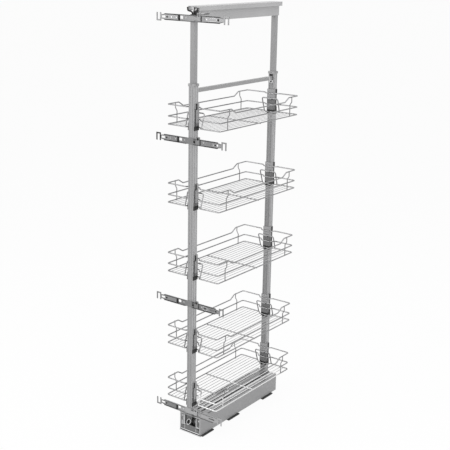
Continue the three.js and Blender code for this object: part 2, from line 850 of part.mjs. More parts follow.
// A hook that grips the post's side through the bar's window, with its screw block in front.
function bracketClamp(half) {
  const plateFront = -seatGap - bracketWall - bracketFlange;
  const strapBack = plateFront + bracketWall;
  const blockBack = -2 * seatGap - bracketWall;
  const strap = [-clampStrap / 2, clampStrap / 2];
  const grip = [half + seatGap, half + seatGap + bracketWall];
  const start = half + clampReach;
  return join([
    block(grip, [plateFront, plateFront + clampDepth + bracketFlange], strap),
    block([grip[0], start + bracketWall], [plateFront, strapBack], strap),
    block([start, start + clampWidth], [plateFront, blockBack], [-clampDrop, clampRise]),
  ]);
}

// A sliding arm on one side; mouth is +1 where the fork opens upwards, -1 downwards.
function bracketArm(side, mouth, window) {
  const back = -2 * seatGap - bracketWall;
  const thickness = [back, back - bracketWall];
  const through = [back + past, back - bracketWall - past];
  const bodyEdge = bracketBarHeight / 2 - bracketWall - seatGap;
  const neckEdge = armNeckHeight / 2;
  const neckEnd = forkInner + sheet;
  const forkOuter = forkInner + forkWidth;
  const fork = mouth > 0 ? [-forkRise, forkDrop] : [-forkDrop, forkRise];
  const slotRoot = mouth > 0 ? -forkRise + forkProng : forkRise - forkProng;
  const mouthEnd = mouth * (forkDrop + past);
  const across = (from, to) => [side * from, side * to];
  const outline = [
    [armInner, -bodyEdge], [armShoulder, -bodyEdge], [neckEnd, -neckEdge],
    [neckEnd, neckEdge], [armShoulder, bodyEdge], [armInner, bodyEdge],
  ];
  const body = prism(outline.map(([x, z]) => [side * x, z]), 'y', back - bracketWall, back);
  return cut(body.add(block(across(forkInner, forkOuter), thickness, fork)), [
    block(across(forkInner + forkProng, forkOuter - forkProng), through, [slotRoot, mouthEnd]),
    block(across(...window), through, [-armWindowHalf, armWindowHalf]),
  ]);
}

// Fork mouths and arm windows, left and right, on each bracket from the top one down.
const forkMouths = [[1, -1], [-1, -1], [-1, -1], [1, -1]];
const armWindows = [
  [eyeWindow, squareWindow], [eyeWindow, shortWindow], [eyeWindow, longWindow], [eyeWindow, longWindow],
];

function buildBrackets() {
  bracketHeights.forEach((height, index) => {
    const number = index + 1;
    const half = index === 0 ? tubeHalf : postHalf;
    const bracket = groupAt(0, frontPostY - half, height);
    place(`bracket_${number}_bar`, bracketBar(half, index > 0), zincSteel, bracket);
    place(`bracket_${number}_clamp`, bracketClamp(half), zincSteel, bracket);
    sides.forEach(([name, side], arm) => {
      const body = bracketArm(side, forkMouths[index][arm], armWindows[index][arm]);
      place(`bracket_${number}_arm_${name}`, body, zincSteel, bracket);
    });
  });
}

// ---------------------------------------------------------------- the whole unit

['front', 'middle', 'rear'].forEach((name, index) => {
  place(`foot_${name}`, foot(footStarts[index]), blackPlastic);
});
place('floor_pan', floorPan(), zincSteel);
buildSlides();
buildSoftClose();
place('carriage_box', carriageBox(), paintedSteel);
buildPosts();
buildUpperFrame();
buildBaskets();
buildBrackets();

export default unit;
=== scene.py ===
# %% [markdown]
# # A pull-out larder unit
#
# The real object is a tall steel frame that rolls out of a narrow kitchen cabinet. A sliding base
# carries two posts, the posts carry five wire baskets on plastic hooks, and four brackets hold the
# cabinet's door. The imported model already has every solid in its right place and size, so this
# lesson dresses it: each solid gets the rounded edges, wires, screws and finishes of the real one.
# The floor is at zero and the front faces -Y. Sizes are written in millimetres, and MM turns them
# into Blender's metres.

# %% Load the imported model
import json
import math
import bmesh
import bpy
from mathutils import Matrix, Vector


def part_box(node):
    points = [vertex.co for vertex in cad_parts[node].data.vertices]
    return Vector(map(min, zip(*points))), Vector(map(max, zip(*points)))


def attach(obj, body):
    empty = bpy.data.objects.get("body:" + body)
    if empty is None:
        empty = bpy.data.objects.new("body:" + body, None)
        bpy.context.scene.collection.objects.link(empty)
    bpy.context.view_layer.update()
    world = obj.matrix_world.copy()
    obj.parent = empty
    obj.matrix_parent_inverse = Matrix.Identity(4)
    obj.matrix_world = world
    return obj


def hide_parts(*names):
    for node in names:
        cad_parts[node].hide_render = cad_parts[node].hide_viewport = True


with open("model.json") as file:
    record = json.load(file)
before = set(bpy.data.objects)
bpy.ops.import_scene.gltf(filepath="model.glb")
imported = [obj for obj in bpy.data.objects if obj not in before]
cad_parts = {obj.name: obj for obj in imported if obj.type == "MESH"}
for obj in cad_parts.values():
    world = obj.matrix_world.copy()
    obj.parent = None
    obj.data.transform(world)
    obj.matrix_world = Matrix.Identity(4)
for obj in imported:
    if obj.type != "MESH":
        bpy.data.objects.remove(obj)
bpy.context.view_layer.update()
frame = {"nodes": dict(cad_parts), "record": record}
MM = 0.001
body_of_node = {
    node: body
    for body, nodes in frame["record"]["behaviour"]["bodies"].items()
    for node in nodes
}

# %% [markdown]
# ## Patterns
#
# The unit has five kinds of surface: satin silver lacquer on the frame, zinc plating on the pressed
# brackets, rolled steel on the slides, nickel on the wires, and moulded plastic. None of them is one
# flat colour, so each finish mixes a few patterns: a fine grain, slow clouds, and on zinc the crystals
# of the plating. Finishes share them, so each is a node group that puts out a mask. Image textures
# could do this too, but patterns made from the object's own coordinates have no seams.

# %% Small helpers for nodes
def set_inputs(tree, node, inputs):
    """Each input gets a plain value, or a socket that is linked to it."""
    for key, value in inputs.items():
        if isinstance(value, bpy.types.NodeSocket):
            tree.links.new(value, node.inputs[key])
        else:
            node.inputs[key].default_value = value


def configure(thing, settings):
    for name, value in settings.items():
        setattr(thing, name, value)
    return thing


def add_node(tree, kind, inputs=None, **settings):
    """A shader node; its settings come first, since they decide which inputs it has."""
    node = configure(tree.nodes.new("ShaderNode" + kind), settings)
    set_inputs(tree, node, inputs or {})
    return node


def combine(tree, operation, first, second):
    return add_node(tree, "Math", {0: first, 1: second}, operation=operation).outputs[0]


def remap(tree, value, source=(0.0, 1.0), target=(0.0, 1.0)):
    """A value stretched from one range to another, and held inside it."""
    ends = dict(zip(("From Min", "From Max", "To Min", "To Max"), (*source, *target)))
    return add_node(tree, "MapRange", {"Value": value, **ends}).outputs[0]


def mask_group(name, scale):
    """A node group with a Scale input and a Mask output, and its scaled object coordinates."""
    group = bpy.data.node_groups.new(name, "ShaderNodeTree")
    vector = group.interface.new_socket(name="Scale", in_out="INPUT", socket_type="NodeSocketVector")
    vector.default_value = (scale, scale, scale)
    group.interface.new_socket(name="Mask", in_out="OUTPUT", socket_type="NodeSocketFloat")
    source, result = group.nodes.new("NodeGroupInput"), group.nodes.new("NodeGroupOutput")
    place = add_node(group, "TexCoord").outputs["Object"]
    scaled = add_node(group, "VectorMath", {0: place, 1: source.outputs["Scale"]}, operation="MULTIPLY")
    return group, scaled.outputs[0], result.inputs["Mask"]


# %% The shared patterns
def noise_group(name, scale, detail, roughness, darkest, palest):
    """Noise stretched so that its darkest value becomes 0 and its palest 1."""
    group, vector, mask = mask_group(name, scale)
    noise = add_node(
        group, "TexNoise", {"Vector": vector, "Scale": 1.0, "Detail": detail, "Roughness": roughness})
    group.links.new(remap(group, noise.outputs[0], (darkest, palest)), mask)
    return group


def crystal_group(name, scale):
    """Plating crystals: every cell of a Voronoi pattern has its own grey."""
    group, vector, mask = mask_group(name, scale)
    cells = add_node(group, "TexVoronoi", {"Vector": vector, "Scale": 1.0})
    grey = add_node(group, "RGBToBW", {0: cells.outputs["Color"]})
    group.links.new(grey.outputs[0], mask)
    return group


GRAIN = noise_group("fine grain", 900, 3.0, 0.6, 0.3, 0.7)
CLOUD = noise_group("slow clouds", 9, 2.0, 0.5, 0.35, 0.65)
SPANGLE = crystal_group("plating crystals", 260)
print("patterns:", [group.name for group in (GRAIN, CLOUD, SPANGLE)])

# %% [markdown]
# ## Finishes
#
# A finish is two close greys and two close roughnesses, and its patterns say where each one is.
# Painting each part by hand would give more control, but with one function a single line changes
# any finish. Some come in several greys: paler and darker copies that paint the light which the
# frame's faces catch differently.

# %% One function that builds a finish
def srgb(value):
    """A screen grey from 0 to 255 as the linear value that a shader takes."""
    share = value / 255
    return share / 12.92 if share <= 0.04045 else ((share + 0.055) / 1.055) ** 2.4


BLUISH = 1.01


def finish(name, greys, metallic, roughness, patterns, relief):
    """greys and roughness are (low, high); patterns are (group, scale, weight) and mix to one mask;
    relief is (strength, distance in mm)."""
    material = bpy.data.materials.new(name)
    material.use_nodes = True
    tree = material.node_tree
    total = 0.0
    for group, scale, weight in patterns:
        pattern = add_node(tree, "Group", {"Scale": scale}, node_tree=group).outputs["Mask"]
        part = add_node(tree, "Math", {0: pattern, 1: weight, 2: total}, operation="MULTIPLY_ADD")
        total = part.outputs[0]
    low, high = ((level, level, level * BLUISH, 1) for level in (srgb(grey) for grey in greys))
    tint = add_node(tree, "Mix", {"Factor": total, "A": low, "B": high}, data_type="RGBA")
    bump = add_node(tree, "Bump", {"Strength": relief[0], "Distance": relief[1] * MM, "Height": total})
    set_inputs(tree, tree.nodes["Principled BSDF"], {
        "Metallic": metallic, "Base Color": tint.outputs["Result"],
        "Roughness": remap(tree, total, target=roughness), "Normal": bump.outputs[0]})
    return material


# %% How the finishes use the patterns
def even(scale):
    return (scale, scale, scale)


def grainy(scale, share, cloud_scale):
    """Grain over slow clouds; share is the grain's part of the mask. Three numbers as scale draw
    the grain out along an axis."""
    grain_scale = scale if isinstance(scale, tuple) else even(scale)
    return [(GRAIN, grain_scale, share), (CLOUD, even(cloud_scale), 1 - share)]


def plated(scale, share, grain_share, cloud_scale):
    """Plating crystals with grain and clouds over them."""
    return [(SPANGLE, even(scale), share), (GRAIN, even(900), grain_share), (CLOUD, even(cloud_scale), 0.3)]


SPRAYED = grainy(1400, 0.5, 5)
DRAWN = grainy(1100, 0.4, 25)
MOULDED = grainy(1900, 0.7, 24)
TURNED = grainy(1600, 0.6, 60)

# %% Steel finishes
lacquer = finish(
    "satin silver lacquer", (153, 163), 0.25, (0.40, 0.50), SPRAYED, (0.05, 0.04))
# A copy of the lacquer painted darker: painted shade.
shaded_lacquer = finish(
    "darker silver lacquer", (139, 149), 0.25, (0.40, 0.50), SPRAYED, (0.05, 0.04))
# A copy of the lacquer painted paler: painted light, for faces that catch more of it.
lit_lacquer = finish(
    "pale silver lacquer", (174, 186), 0.25, (0.38, 0.48), SPRAYED, (0.05, 0.04))
zinc = finish(
    "zinc plate", (112, 148), 0.80, (0.34, 0.48), plated(420, 0.4, 0.3, 14), (0.08, 0.05))
pale_zinc = finish(
    "new zinc plate", (128, 160), 0.80, (0.30, 0.44), plated(460, 0.4, 0.3, 18),
    (0.08, 0.05))
# A copy of the zinc plate painted paler: painted light on the lowest bracket.
lit_zinc = finish(
    "light zinc plate", (160, 180), 0.35, (0.34, 0.46), plated(460, 0.3, 0.4, 18),
    (0.06, 0.04))
# Painted shade for the bars' rims and the arms' edges, where the gaps behind them lie in shade.
painted_rim_shade = finish(
    "sheared steel edge", (58, 84), 0.70, (0.42, 0.58), grainy((200, 2200, 2200), 0.8, 40),
    (0.10, 0.04))
rolled_zinc = finish(
    "rolled slide steel", (176, 204), 0.85, (0.24, 0.38), grainy((1500, 12, 1500), 0.7, 20),
    (0.10, 0.04))
bright_wire = finish("bright nickel wire", (136, 160), 1.0, (0.16, 0.28), DRAWN, (0.04, 0.03))
thin_wire = finish("thin nickel wire", (176, 202), 0.7, (0.20, 0.32), DRAWN, (0.04, 0.03))
screw_steel = finish(
    "bright screw steel", (186, 214), 0.95, (0.18, 0.32), TURNED, (0.06, 0.03))
dark_screw_steel = finish(
    "blackened screw steel", (44, 62), 0.60, (0.30, 0.46), TURNED, (0.06, 0.03))
groove_shade = finish(
    "shaded groove", (58, 76), 0.1, (0.5, 0.7), grainy((1500, 40, 1500), 0.7, 30), (0.08, 0.04))

# %% Plastic finishes
black_moulding = finish(
    "black moulded plastic", (16, 26), 0.0, (0.46, 0.62), grainy(1900, 0.8, 30),
    (0.20, 0.06))
grey_moulding = finish(
    "grey moulded plastic", (158, 168), 0.0, (0.44, 0.56), MOULDED, (0.10, 0.05))
dark_moulding = finish(
    "dark grey moulded plastic", (106, 120), 0.0, (0.44, 0.58), MOULDED, (0.12, 0.05))
foot_pad = finish(
    "dark foot plastic", (46, 60), 0.0, (0.58, 0.74), grainy(1300, 0.8, 22), (0.30, 0.08))
pale_liner = finish(
    "pale rail liner", (236, 246), 0.0, (0.35, 0.5), grainy(1200, 0.6, 20), (0.05, 0.03))
# Painted shade, for holes, gaps and slots that lie in deep shade.
painted_shade = finish(
    "shaded hole", (10, 18), 0.0, (0.7, 0.9), grainy(1500, 0.7, 40), (0.10, 0.04))

# %% [markdown]
# ## Rounded copies of the solids
#
# No edge on a real pressed or drawn part is perfectly sharp, and it is the thin light line along
# an edge that makes metal look like metal. A bevel drawn by hand on each part would take long, so
# one helper copies a solid, joins its flat triangles, cuts any extra holes and rounds every edge.
# The copy then stands for the solid, which stays in the physics model.

# %% Small solids to build and cut with
TURNS = {"x": Matrix.Rotation(math.pi / 2, 4, "Y"), "y": Matrix.Rotation(math.pi / 2, 4, "X")}


def moved(corners, origin):
    """Corners that are given from an origin of their own."""
    return [[a + b for a, b in zip(corner, origin)] for corner in corners]


def add_block(bm, low, high):
    """A block between two corners."""
    size = [abs(b - a) * MM for a, b in zip(low, high)]
    centre = [(a + b) / 2 * MM for a, b in zip(low, high)]
    bmesh.ops.create_cube(bm, matrix=Matrix.Translation(centre) @ Matrix.Diagonal((*size, 1)))


def add_drum(bm, centre, axis, radius, length, segments=24):
    """A round bar along x or y."""
    bmesh.ops.create_cone(
        bm, cap_ends=True, segments=segments, radius1=radius * MM, radius2=radius * MM,
        depth=length * MM, matrix=Matrix.Translation(Vector(centre) * MM) @ TURNS[axis])


def add_prism(bm, outline, axis, start, end):
    """An outline in the two other coordinates, in x, y, z order, pushed along an axis."""
    def at(pair, height):
        a, b = pair
        point = {"x": (height, a, b), "y": (a, height, b), "z": (a, b, height)}[axis]
        return bm.verts.new(Vector(point) * MM)
    bottom = [at(pair, start) for pair in outline]
    top = [at(pair, end) for pair in outline]
    sides = list(zip(bottom, bottom[1:] + bottom[:1], top[1:] + top[:1], top))
    faces = [bm.faces.new(bottom), bm.faces.new(top)] + [bm.faces.new(side) for side in sides]
    bmesh.ops.recalc_face_normals(bm, faces=faces)


# %% From a built mesh to a finished piece
def add_object(name, data):
    thing = bpy.data.objects.new(name, data)
    bpy.context.scene.collection.objects.link(thing)
    return thing


def object_from(name, bm):
    bmesh.ops.recalc_face_normals(bm, faces=bm.faces)
    mesh = bpy.data.meshes.new(name)
    bm.to_mesh(mesh)
    bm.free()
    return add_object(name, mesh)


def final_mesh(thing):
    """The mesh that a thing has once its modifiers or its bevel are worked out."""
    bpy.context.view_layer.update()
    view = bpy.context.evaluated_depsgraph_get()
    return bpy.data.meshes.new_from_object(thing.evaluated_get(view), depsgraph=view)


def settle(thing):
    """Applies a thing's modifiers and takes its helpers away."""
    helpers = [step.object for step in thing.modifiers if step.type == "BOOLEAN"]
    mesh = final_mesh(thing)
    thing.modifiers.clear()
    thing.data = mesh
    mesh.name = thing.name
    for helper in helpers:
        bpy.data.objects.remove(helper)
    return thing


def add_step(thing, kind, **settings):
    """One more modifier."""
    return configure(thing.modifiers.new(kind.lower(), kind), settings)


def cut(thing, cutter_bm, crossing=False):
    """Cuts a shape away; crossing is for a cutter whose blocks cross each other."""
    cutter = object_from(thing.name + "_cutter", cutter_bm)
    add_step(thing, "BOOLEAN", operation="DIFFERENCE", solver="EXACT", use_self=crossing, object=cutter)
    return settle(thing)


BEVEL_ANGLE = math.radians(35)


def round_edges(thing, edge, segments=2):
    if edge:
        add_step(
            thing, "BEVEL", width=edge * MM, segments=segments, limit_method="ANGLE",
            angle_limit=BEVEL_ANGLE, use_clamp_overlap=True)
    thing.data.shade_smooth()
    add_step(thing, "WEIGHTED_NORMAL", keep_sharp=True)
    return settle(thing)


def finish_piece(thing, material, body, nodes=()):
    """Gives a piece its finish and the body it moves with, and hides the solids it stands for."""
    thing.data.materials.clear()
    thing.data.materials.append(material)
    for face in thing.data.polygons:
        face.material_index = 0
    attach(thing, body)
    if nodes:
        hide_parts(*nodes)
    return thing


# %% The rounded copy itself
SAME_POINT = 0.002
FLAT = math.radians(1)
MARGIN = 5


def solid_copy(node, name):
    bm = bmesh.new()
    bm.from_mesh(frame["nodes"][node].data)
    bmesh.ops.remove_doubles(bm, verts=bm.verts, dist=SAME_POINT * MM)
    bmesh.ops.dissolve_limit(bm, angle_limit=FLAT, verts=bm.verts, edges=bm.edges)
    return object_from(name, bm)


def rounded_copy(node, material, edge=0.5, segments=2, cutters=None):
    thing = solid_copy(node, node + "_form")
    if cutters is not None:
        cut(thing, cutters)
    round_edges(thing, edge, segments)
    return finish_piece(thing, material, body_of_node[node], [node])


def built(name, bm, material, body, edge=0.3, nodes=()):
    return finish_piece(round_edges(object_from(name, bm), edge), material, body, nodes)


def block_piece(name, low, high, material, body, edge=0.3):
    bm = bmesh.new()
    add_block(bm, low, high)
    return built(name, bm, material, body, edge)


def span(node):
    """Lowest and highest corner of a solid, in millimetres."""
    low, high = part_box(node)
    return low / MM, high / MM


def slice_of(node, name, bottom, top, material, edge):
    """The part of a solid's rounded copy between two heights."""
    low, high = span(node)
    left, right = low.x - MARGIN, high.x + MARGIN
    front, back = low.y - MARGIN, high.y + MARGIN
    thing = solid_copy(node, name)
    away = bmesh.new()
    if bottom > low.z:
        add_block(away, (left, front, low.z - MARGIN), (right, back, bottom))
    if top < high.z:
        add_block(away, (left, front, top), (right, back, high.z + MARGIN))
    cut(thing, away)
    round_edges(thing, edge)
    return finish_piece(thing, material, body_of_node[node])


# %% A second finish on chosen faces
def refinish(thing, material, chosen):
    """Gives the faces that the test picks a second finish."""
    thing.data.materials.append(material)
    for face in thing.data.polygons:
        if chosen(face):
            face.material_index = 1
    return thing


def faces_front(face):
    return face.normal.y < -0.5


def faces_sideways(face):
    return abs(face.normal.x) > 0.9


# %% [markdown]
# ## Screws
#
# Pan-head screws with a cross recess hold the brackets and the collars. A screw is small in the
# picture but it is what the eye looks for on hardware, so it is modelled: a domed head, turned
# from a few rings, with a cross cut into it. One helper places it on any face.

# %% A pan-head screw
HEAD_PROFILE = [(1.0, 0.0), (1.0, 0.45), (0.88, 0.78), (0.55, 0.96), (0.0, 1.0)]
HEAD_SIDES = 28
ARM_LENGTH, ARM_WIDTH = 0.56, 0.13
HEAD_TURN = math.radians(35)
HEAD_SHARP = math.radians(40)
UP, FORWARD = Vector((0, 0, 1)), Vector((0, -1, 0))


def domed_head(radius, tall):
    """The head standing on zero, one unit to a millimetre."""
    bm = bmesh.new()
    turns = [2 * math.pi * step / HEAD_SIDES for step in range(HEAD_SIDES)]
    rings = []
    for share, rise in HEAD_PROFILE:
        reach = share * radius
        points = [(reach * math.cos(turn), reach * math.sin(turn), rise * tall) for turn in turns]
        rings.append([bm.verts.new(point) for point in (points if share else [(0, 0, rise * tall)])])
    bm.faces.new(list(reversed(rings[0])))
    for lower, upper in zip(rings, rings[1:]):
        for step in range(HEAD_SIDES):
            following = (step + 1) % HEAD_SIDES
            ends = upper if len(upper) == 1 else (upper[following], upper[step])
            bm.faces.new((lower[step], lower[following], *ends))
    return bm


def screw(name, at, facing, radius, tall, body, material=dark_screw_steel):
    """at is the middle of the face that the head sits on."""
    thing = object_from(name, domed_head(radius, tall))
    cross = bmesh.new()
    length, width = radius * ARM_LENGTH, radius * ARM_WIDTH
    for wide, deep in ((length, width), (width, length)):
        matrix = Matrix.Translation((0, 0, tall)) @ Matrix.Diagonal((2 * wide, 2 * deep, tall, 1))
        bmesh.ops.create_cube(cross, matrix=matrix)
    cut(thing, cross, crossing=True)
    turn = UP.rotation_difference(facing).to_matrix().to_4x4() @ Matrix.Rotation(HEAD_TURN, 4, "Z")
    thing.data.transform(Matrix.Translation(Vector(at) * MM) @ turn @ Matrix.Scale(MM, 4))
    thing.data.shade_smooth()
    thing.data.set_sharp_from_angle(angle=HEAD_SHARP)
    return finish_piece(thing, material, body)


# %% [markdown]
# ## Feet, floor pan and slides
#
# The unit stands on three dark pads. A zinc pan lies on them and carries the fixed part of each
# telescopic slide. Most of this hides under the carriage, but it shows once the unit is pulled out,
# so it gets the same care: rounded copies of the solids, with ribs and stops as pieces of their own.

# %% The three feet
FEET = ("front", "middle", "rear")
GROOVE_X, GROOVE_STEP, GROOVE_HALF = 57.4, 2.2, 0.4
GROOVE_INSET, GROOVE_DEPTH = 6, 0.6
for place in FEET:
    node = f"foot_{place}"
    low, high = span(node)
    front, back, bottom = low.y + GROOVE_INSET, high.y - GROOVE_INSET, high.z - GROOVE_DEPTH
    grooves = bmesh.new()
    for side in (-1, 1):
        for index in range(2):
            x = side * (GROOVE_X - index * GROOVE_STEP)
            add_block(grooves, (x - GROOVE_HALF, front, bottom), (x + GROOVE_HALF, back, high.z + 1))
    rounded_copy(node, foot_pad, edge=1.2, segments=3, cutters=grooves)
print("feet:", len(FEET))

# %% The floor pan, with its ribs
RIB_X, RIB_LENGTH = 41, 110
RIB_STARTS = (60, 210, 360)
RIB_OUTLINE = [(-2.4, 6.4), (2.4, 6.4), (1.2, 7.4), (-1.2, 7.4)]
FOLD_INSET, FOLD_DEPTH, FOLD_HEIGHTS = 1.5, 0.7, (2.2, 4.0)
low, high = span("floor_pan")
bottom, top = FOLD_HEIGHTS
fold_line = bmesh.new()
add_block(fold_line, (low.x + FOLD_INSET, low.y - 1, bottom), (high.x - FOLD_INSET, low.y + FOLD_DEPTH, top))
# The pan's front faces take the pale liner finish: painted light on its lip.
refinish(rounded_copy("floor_pan", rolled_zinc, edge=0.35, cutters=fold_line), pale_liner, faces_front)
block_piece("floor_pan_shadow_line", (-49, -0.4, 5.1), (49, 0.2, 8.6), painted_shade, "cabinet_base", 0.1)
ribs = bmesh.new()
for side in (-1, 1):
    for start in RIB_STARTS:
        outline = [(side * RIB_X + x, z) for x, z in RIB_OUTLINE]
        add_prism(ribs, outline, "y", start, start + RIB_LENGTH)
built("floor_pan_ribs", ribs, rolled_zinc, "cabinet_base")
print("floor pan:", [round(v, 1) for v in high - low])

# %% The slides, with the end stops of their ball cages
STOP_INSET = 2.2
for side in ("left", "right"):
    for member in ("fixed", "middle", "moving"):
        rounded_copy(f"slide_{side}_{member}", rolled_zinc, edge=0.5)
    low, high = span(f"slide_{side}_middle")
    for bottom, top in ((low.z + STOP_INSET, low.z + 10.5), (high.z - 10, high.z - STOP_INSET)):
        block_piece(
            f"slide_{side}_stop_{round(bottom)}", (low.x + STOP_INSET, low.y - 0.2, bottom),
            (high.x - STOP_INSET, low.y + 9, top), dark_moulding, "slide_middle", 0.5)
print("slide length:", round(high.y - low.y, 1))

# %% Tabs and closers at the slides' front ends: two corners, finish, body and edge
# The closer shades are painted shade, the front edges are painted highlights on the fixed slides' ends, and
# the left closer takes the lacquer's paler copy, painted light.
SLIDE_ENDS = {
    "left_tab": ((-35.5, 1.9, 30.4), (-27.4, 4.4, 36.4), screw_steel, "cabinet_base", 0.6),
    "right_tab": ((33.5, 0.9, 36.4), (46.5, 1.9, 39.2), screw_steel, "carriage", 0.4),
    "right_latch": ((42, 0.7, 66), (47.2, 2.2, 73), screw_steel, "carriage", 0.5),
    "left_closer": ((-52.3, 1.9, 29), (-36, 2.9, 76), lit_lacquer, "carriage", 0.3),
    "left_closer_hole": ((-46.5, 1.4, 48), (-41.5, 1.95, 66), groove_shade, "carriage", 0.2),
    "right_closer": ((36.4, 1.9, 40), (52.3, 2.9, 76), dark_moulding, "carriage", 0.3),
    "right_closer_hole": ((43, 1.4, 48), (49, 1.95, 60), groove_shade, "carriage", 0.2),
    "front_edge_left": ((-30.6, 1.7, 33), (-33.2, 3.1, 78), screw_steel, "cabinet_base", 0.3),
    "front_edge_right": ((30.6, 1.7, 33), (33.2, 3.1, 78), screw_steel, "cabinet_base", 0.3),
}
for name, settings in SLIDE_ENDS.items():
    block_piece("slide_" + name, *settings)
print("slide ends:", len(SLIDE_ENDS))

# %% [markdown]
# ## Inside the base's mouth
#
# The open front shows a black soft-close unit with a round top, a bright ring before it, and grey
# walls behind. The ring is round wire bent into a leaning oval. A torus would give a plain circle, so
# its small circles are set out along the oval and joined into one skin.

# %% A leaning ring of round wire
def add_ring(bm, centre, radii, wire, lean, around=28, sides=8):
    """An oval ring that faces the front and leans sideways."""
    rings = []
    for step in range(around):
        turn = math.tau * step / around
        outward = Vector((math.cos(turn), 0, math.sin(turn)))
        rise = radii[1] * outward.z
        middle = Vector(centre) + Vector((radii[0] * outward.x + lean * rise, 0, rise))
        rings.append([
            bm.verts.new((middle + outward * wire * math.cos(a) + Vector((0, wire * math.sin(a), 0))) * MM)
            for a in (math.tau * side / sides for side in range(sides))])
    for here, following in zip(rings, rings[1:] + rings[:1]):
        for side in range(sides):
            other = (side + 1) % sides
            bm.faces.new((here[side], here[other], following[other], following[side]))


# %% The soft-close unit, its guide ring, the walls round it, and painted shade and highlight
rounded_copy("soft_close_housing", black_moulding, edge=1.4, segments=3)
low, high = span("soft_close_housing")
# A paler strip on the black housing: a painted highlight.
block_piece(
    "soft_close_rib", (low.x + 11, low.y - 0.8, 50), (high.x - 1.5, low.y + 2, high.z - 8),
    dark_moulding, "cabinet_base", 0.7)
rounded_copy("soft_close_catch", dark_moulding, edge=0.5)
low, high = span("soft_close_catch")
ring = bmesh.new()
add_ring(ring, (-10.5, low.y - 2.4, 49), (9.2, 13.6), 2.3, lean=0.34)
built("soft_close_roller_ring", ring, screw_steel, "cabinet_base", 0)
block_piece(
    "soft_close_roller_shade", (-18, low.y - 0.9, 39), (-8, low.y - 0.3, 60), painted_shade, "cabinet_base", 0.1)
# Dark grey walls close the mouth, and their grey paints the shade inside it.
BASE_WALLS = {
    "front_sill": ((-51.8, 1.8, 7), (51.8, 3.1, 27.5)),
    "front_shelf": ((-27.2, 2.2, 27.5), (27.2, 3.4, 36)),
    "front_wall": ((-28, 9, 46), (3, 10.5, 76)),
    "inside_wall": ((-30, 60, 8), (30, 61.5, 74)),
}
for name, corners in BASE_WALLS.items():
    block_piece("base_" + name, *corners, dark_moulding, "cabinet_base", 0.4)
low, high = span("soft_close_damper")
damper = bmesh.new()
add_drum(damper, (low + high) / 2, "y", 7, high.y - low.y, segments=40)
built("soft_close_damper_body", damper, screw_steel, "cabinet_base", 0.6, ["soft_close_damper"])
print("walls in the base:", len(BASE_WALLS))

# %% [markdown]
# ## Carriage and posts
#
# The carriage is a tray of folded sheet, open below. The posts are drawn tubes with fine grooves,
# so the rounded copies of their solids are nearly all they need; a few small holes, where brackets
# and hooks can be set at other heights, are cut into the front faces. Sheet that lies level or faces
# sideways is painted paler than the rest, as painted light, and a second finish on those faces costs
# no extra mesh.

# %% The carriage box, with its slots, pressed lines, screws and painted stripes
SLOT_START, SLOT_END = 58, 488
# Flat stripes on the carriage's top: the dark ones are painted shade in its slots and grooves, the bright
# one a painted highlight.
PAINTED_STRIPES = {
    "outer_left": (-46.0, -41.5, groove_shade), "left": (-28.5, -23.5, groove_shade),
    "slot_left": (-6.6, -3.8, groove_shade), "slot_middle": (13.0, 20.5, painted_shade),
    "right": (45.0, 52.5, dark_moulding), "bright": (4.0, 6.6, screw_steel),
}
PRESSED_LINES = (24.5, 30.0, 35.5)
CARRIAGE_SCREWS = ((49.5, 214), (-4.0, 52))
low, high = span("carriage_box")
top = high.z


def faces_up(face):
    return face.normal.z > 0.9 and face.center.z > (top - 1) * MM


def along_slots(name, left, right, bottom, upper, material, edge):
    block_piece(name, (left, SLOT_START, bottom), (right, SLOT_END, upper), material, "carriage", edge)


# The carriage's top and front faces take the lacquer's paler copy: painted light.
refinish(
    rounded_copy("carriage_box", lacquer, edge=1.1, segments=3), lit_lacquer,
    lambda face: faces_front(face) or faces_up(face))
along_slots("carriage_slot_lip", 1.6, 13.4, top - 1.6, top - 0.05, lit_lacquer, 0.1)
# A dark sheet under the left slot: painted shade.
along_slots("carriage_slot_cover_left", -12.3, -5.7, top - 3.0, top - 1.7, groove_shade, 0.1)
for name, (left, right, material) in PAINTED_STRIPES.items():
    along_slots(f"carriage_groove_{name}", left, right, top - 0.2, top + 0.08, material, 0)
lines = bmesh.new()
for x in PRESSED_LINES:
    outline = [(x - 0.9, top - 0.1), (x + 0.9, top - 0.1), (x + 0.4, top + 0.5), (x - 0.4, top + 0.5)]
    add_prism(lines, outline, "y", SLOT_START, SLOT_END)
built("carriage_pressed_lines", lines, lit_lacquer, "carriage", 0.1)
for index, (x, y) in enumerate(CARRIAGE_SCREWS):
    screw(f"carriage_screw_{index}", (x, y, top), UP, 4.2, 1.6, "carriage")
print("carriage:", [round(v, 1) for v in high - low])

# %% The posts, with their holes, and the collars, with holes that have painted shade inside
HOLE_HEIGHTS = [1408.5, 1386.5, 828.5, 750.5]
HOLE_X, HOLE_RADIUS = -5, 1.6
# The rear post takes the lacquer's darker copy, painted shade; below, both posts' side faces take its paler
# copy, painted light.
POST_FINISH = {"front": lacquer, "rear": shaded_lacquer}


def collar_bars(low, high, radius, length, depth):
    """Two short round bars, at the collar's front and right face or some depth behind them."""
    bm = bmesh.new()
    centre = (low + high) / 2
    z = centre.z + 1
    add_drum(bm, (centre.x, low.y + depth, z), "y", radius, length, segments=16)
    add_drum(bm, (high.x - depth, centre.y, z), "x", radius, length, segments=16)
    return bm


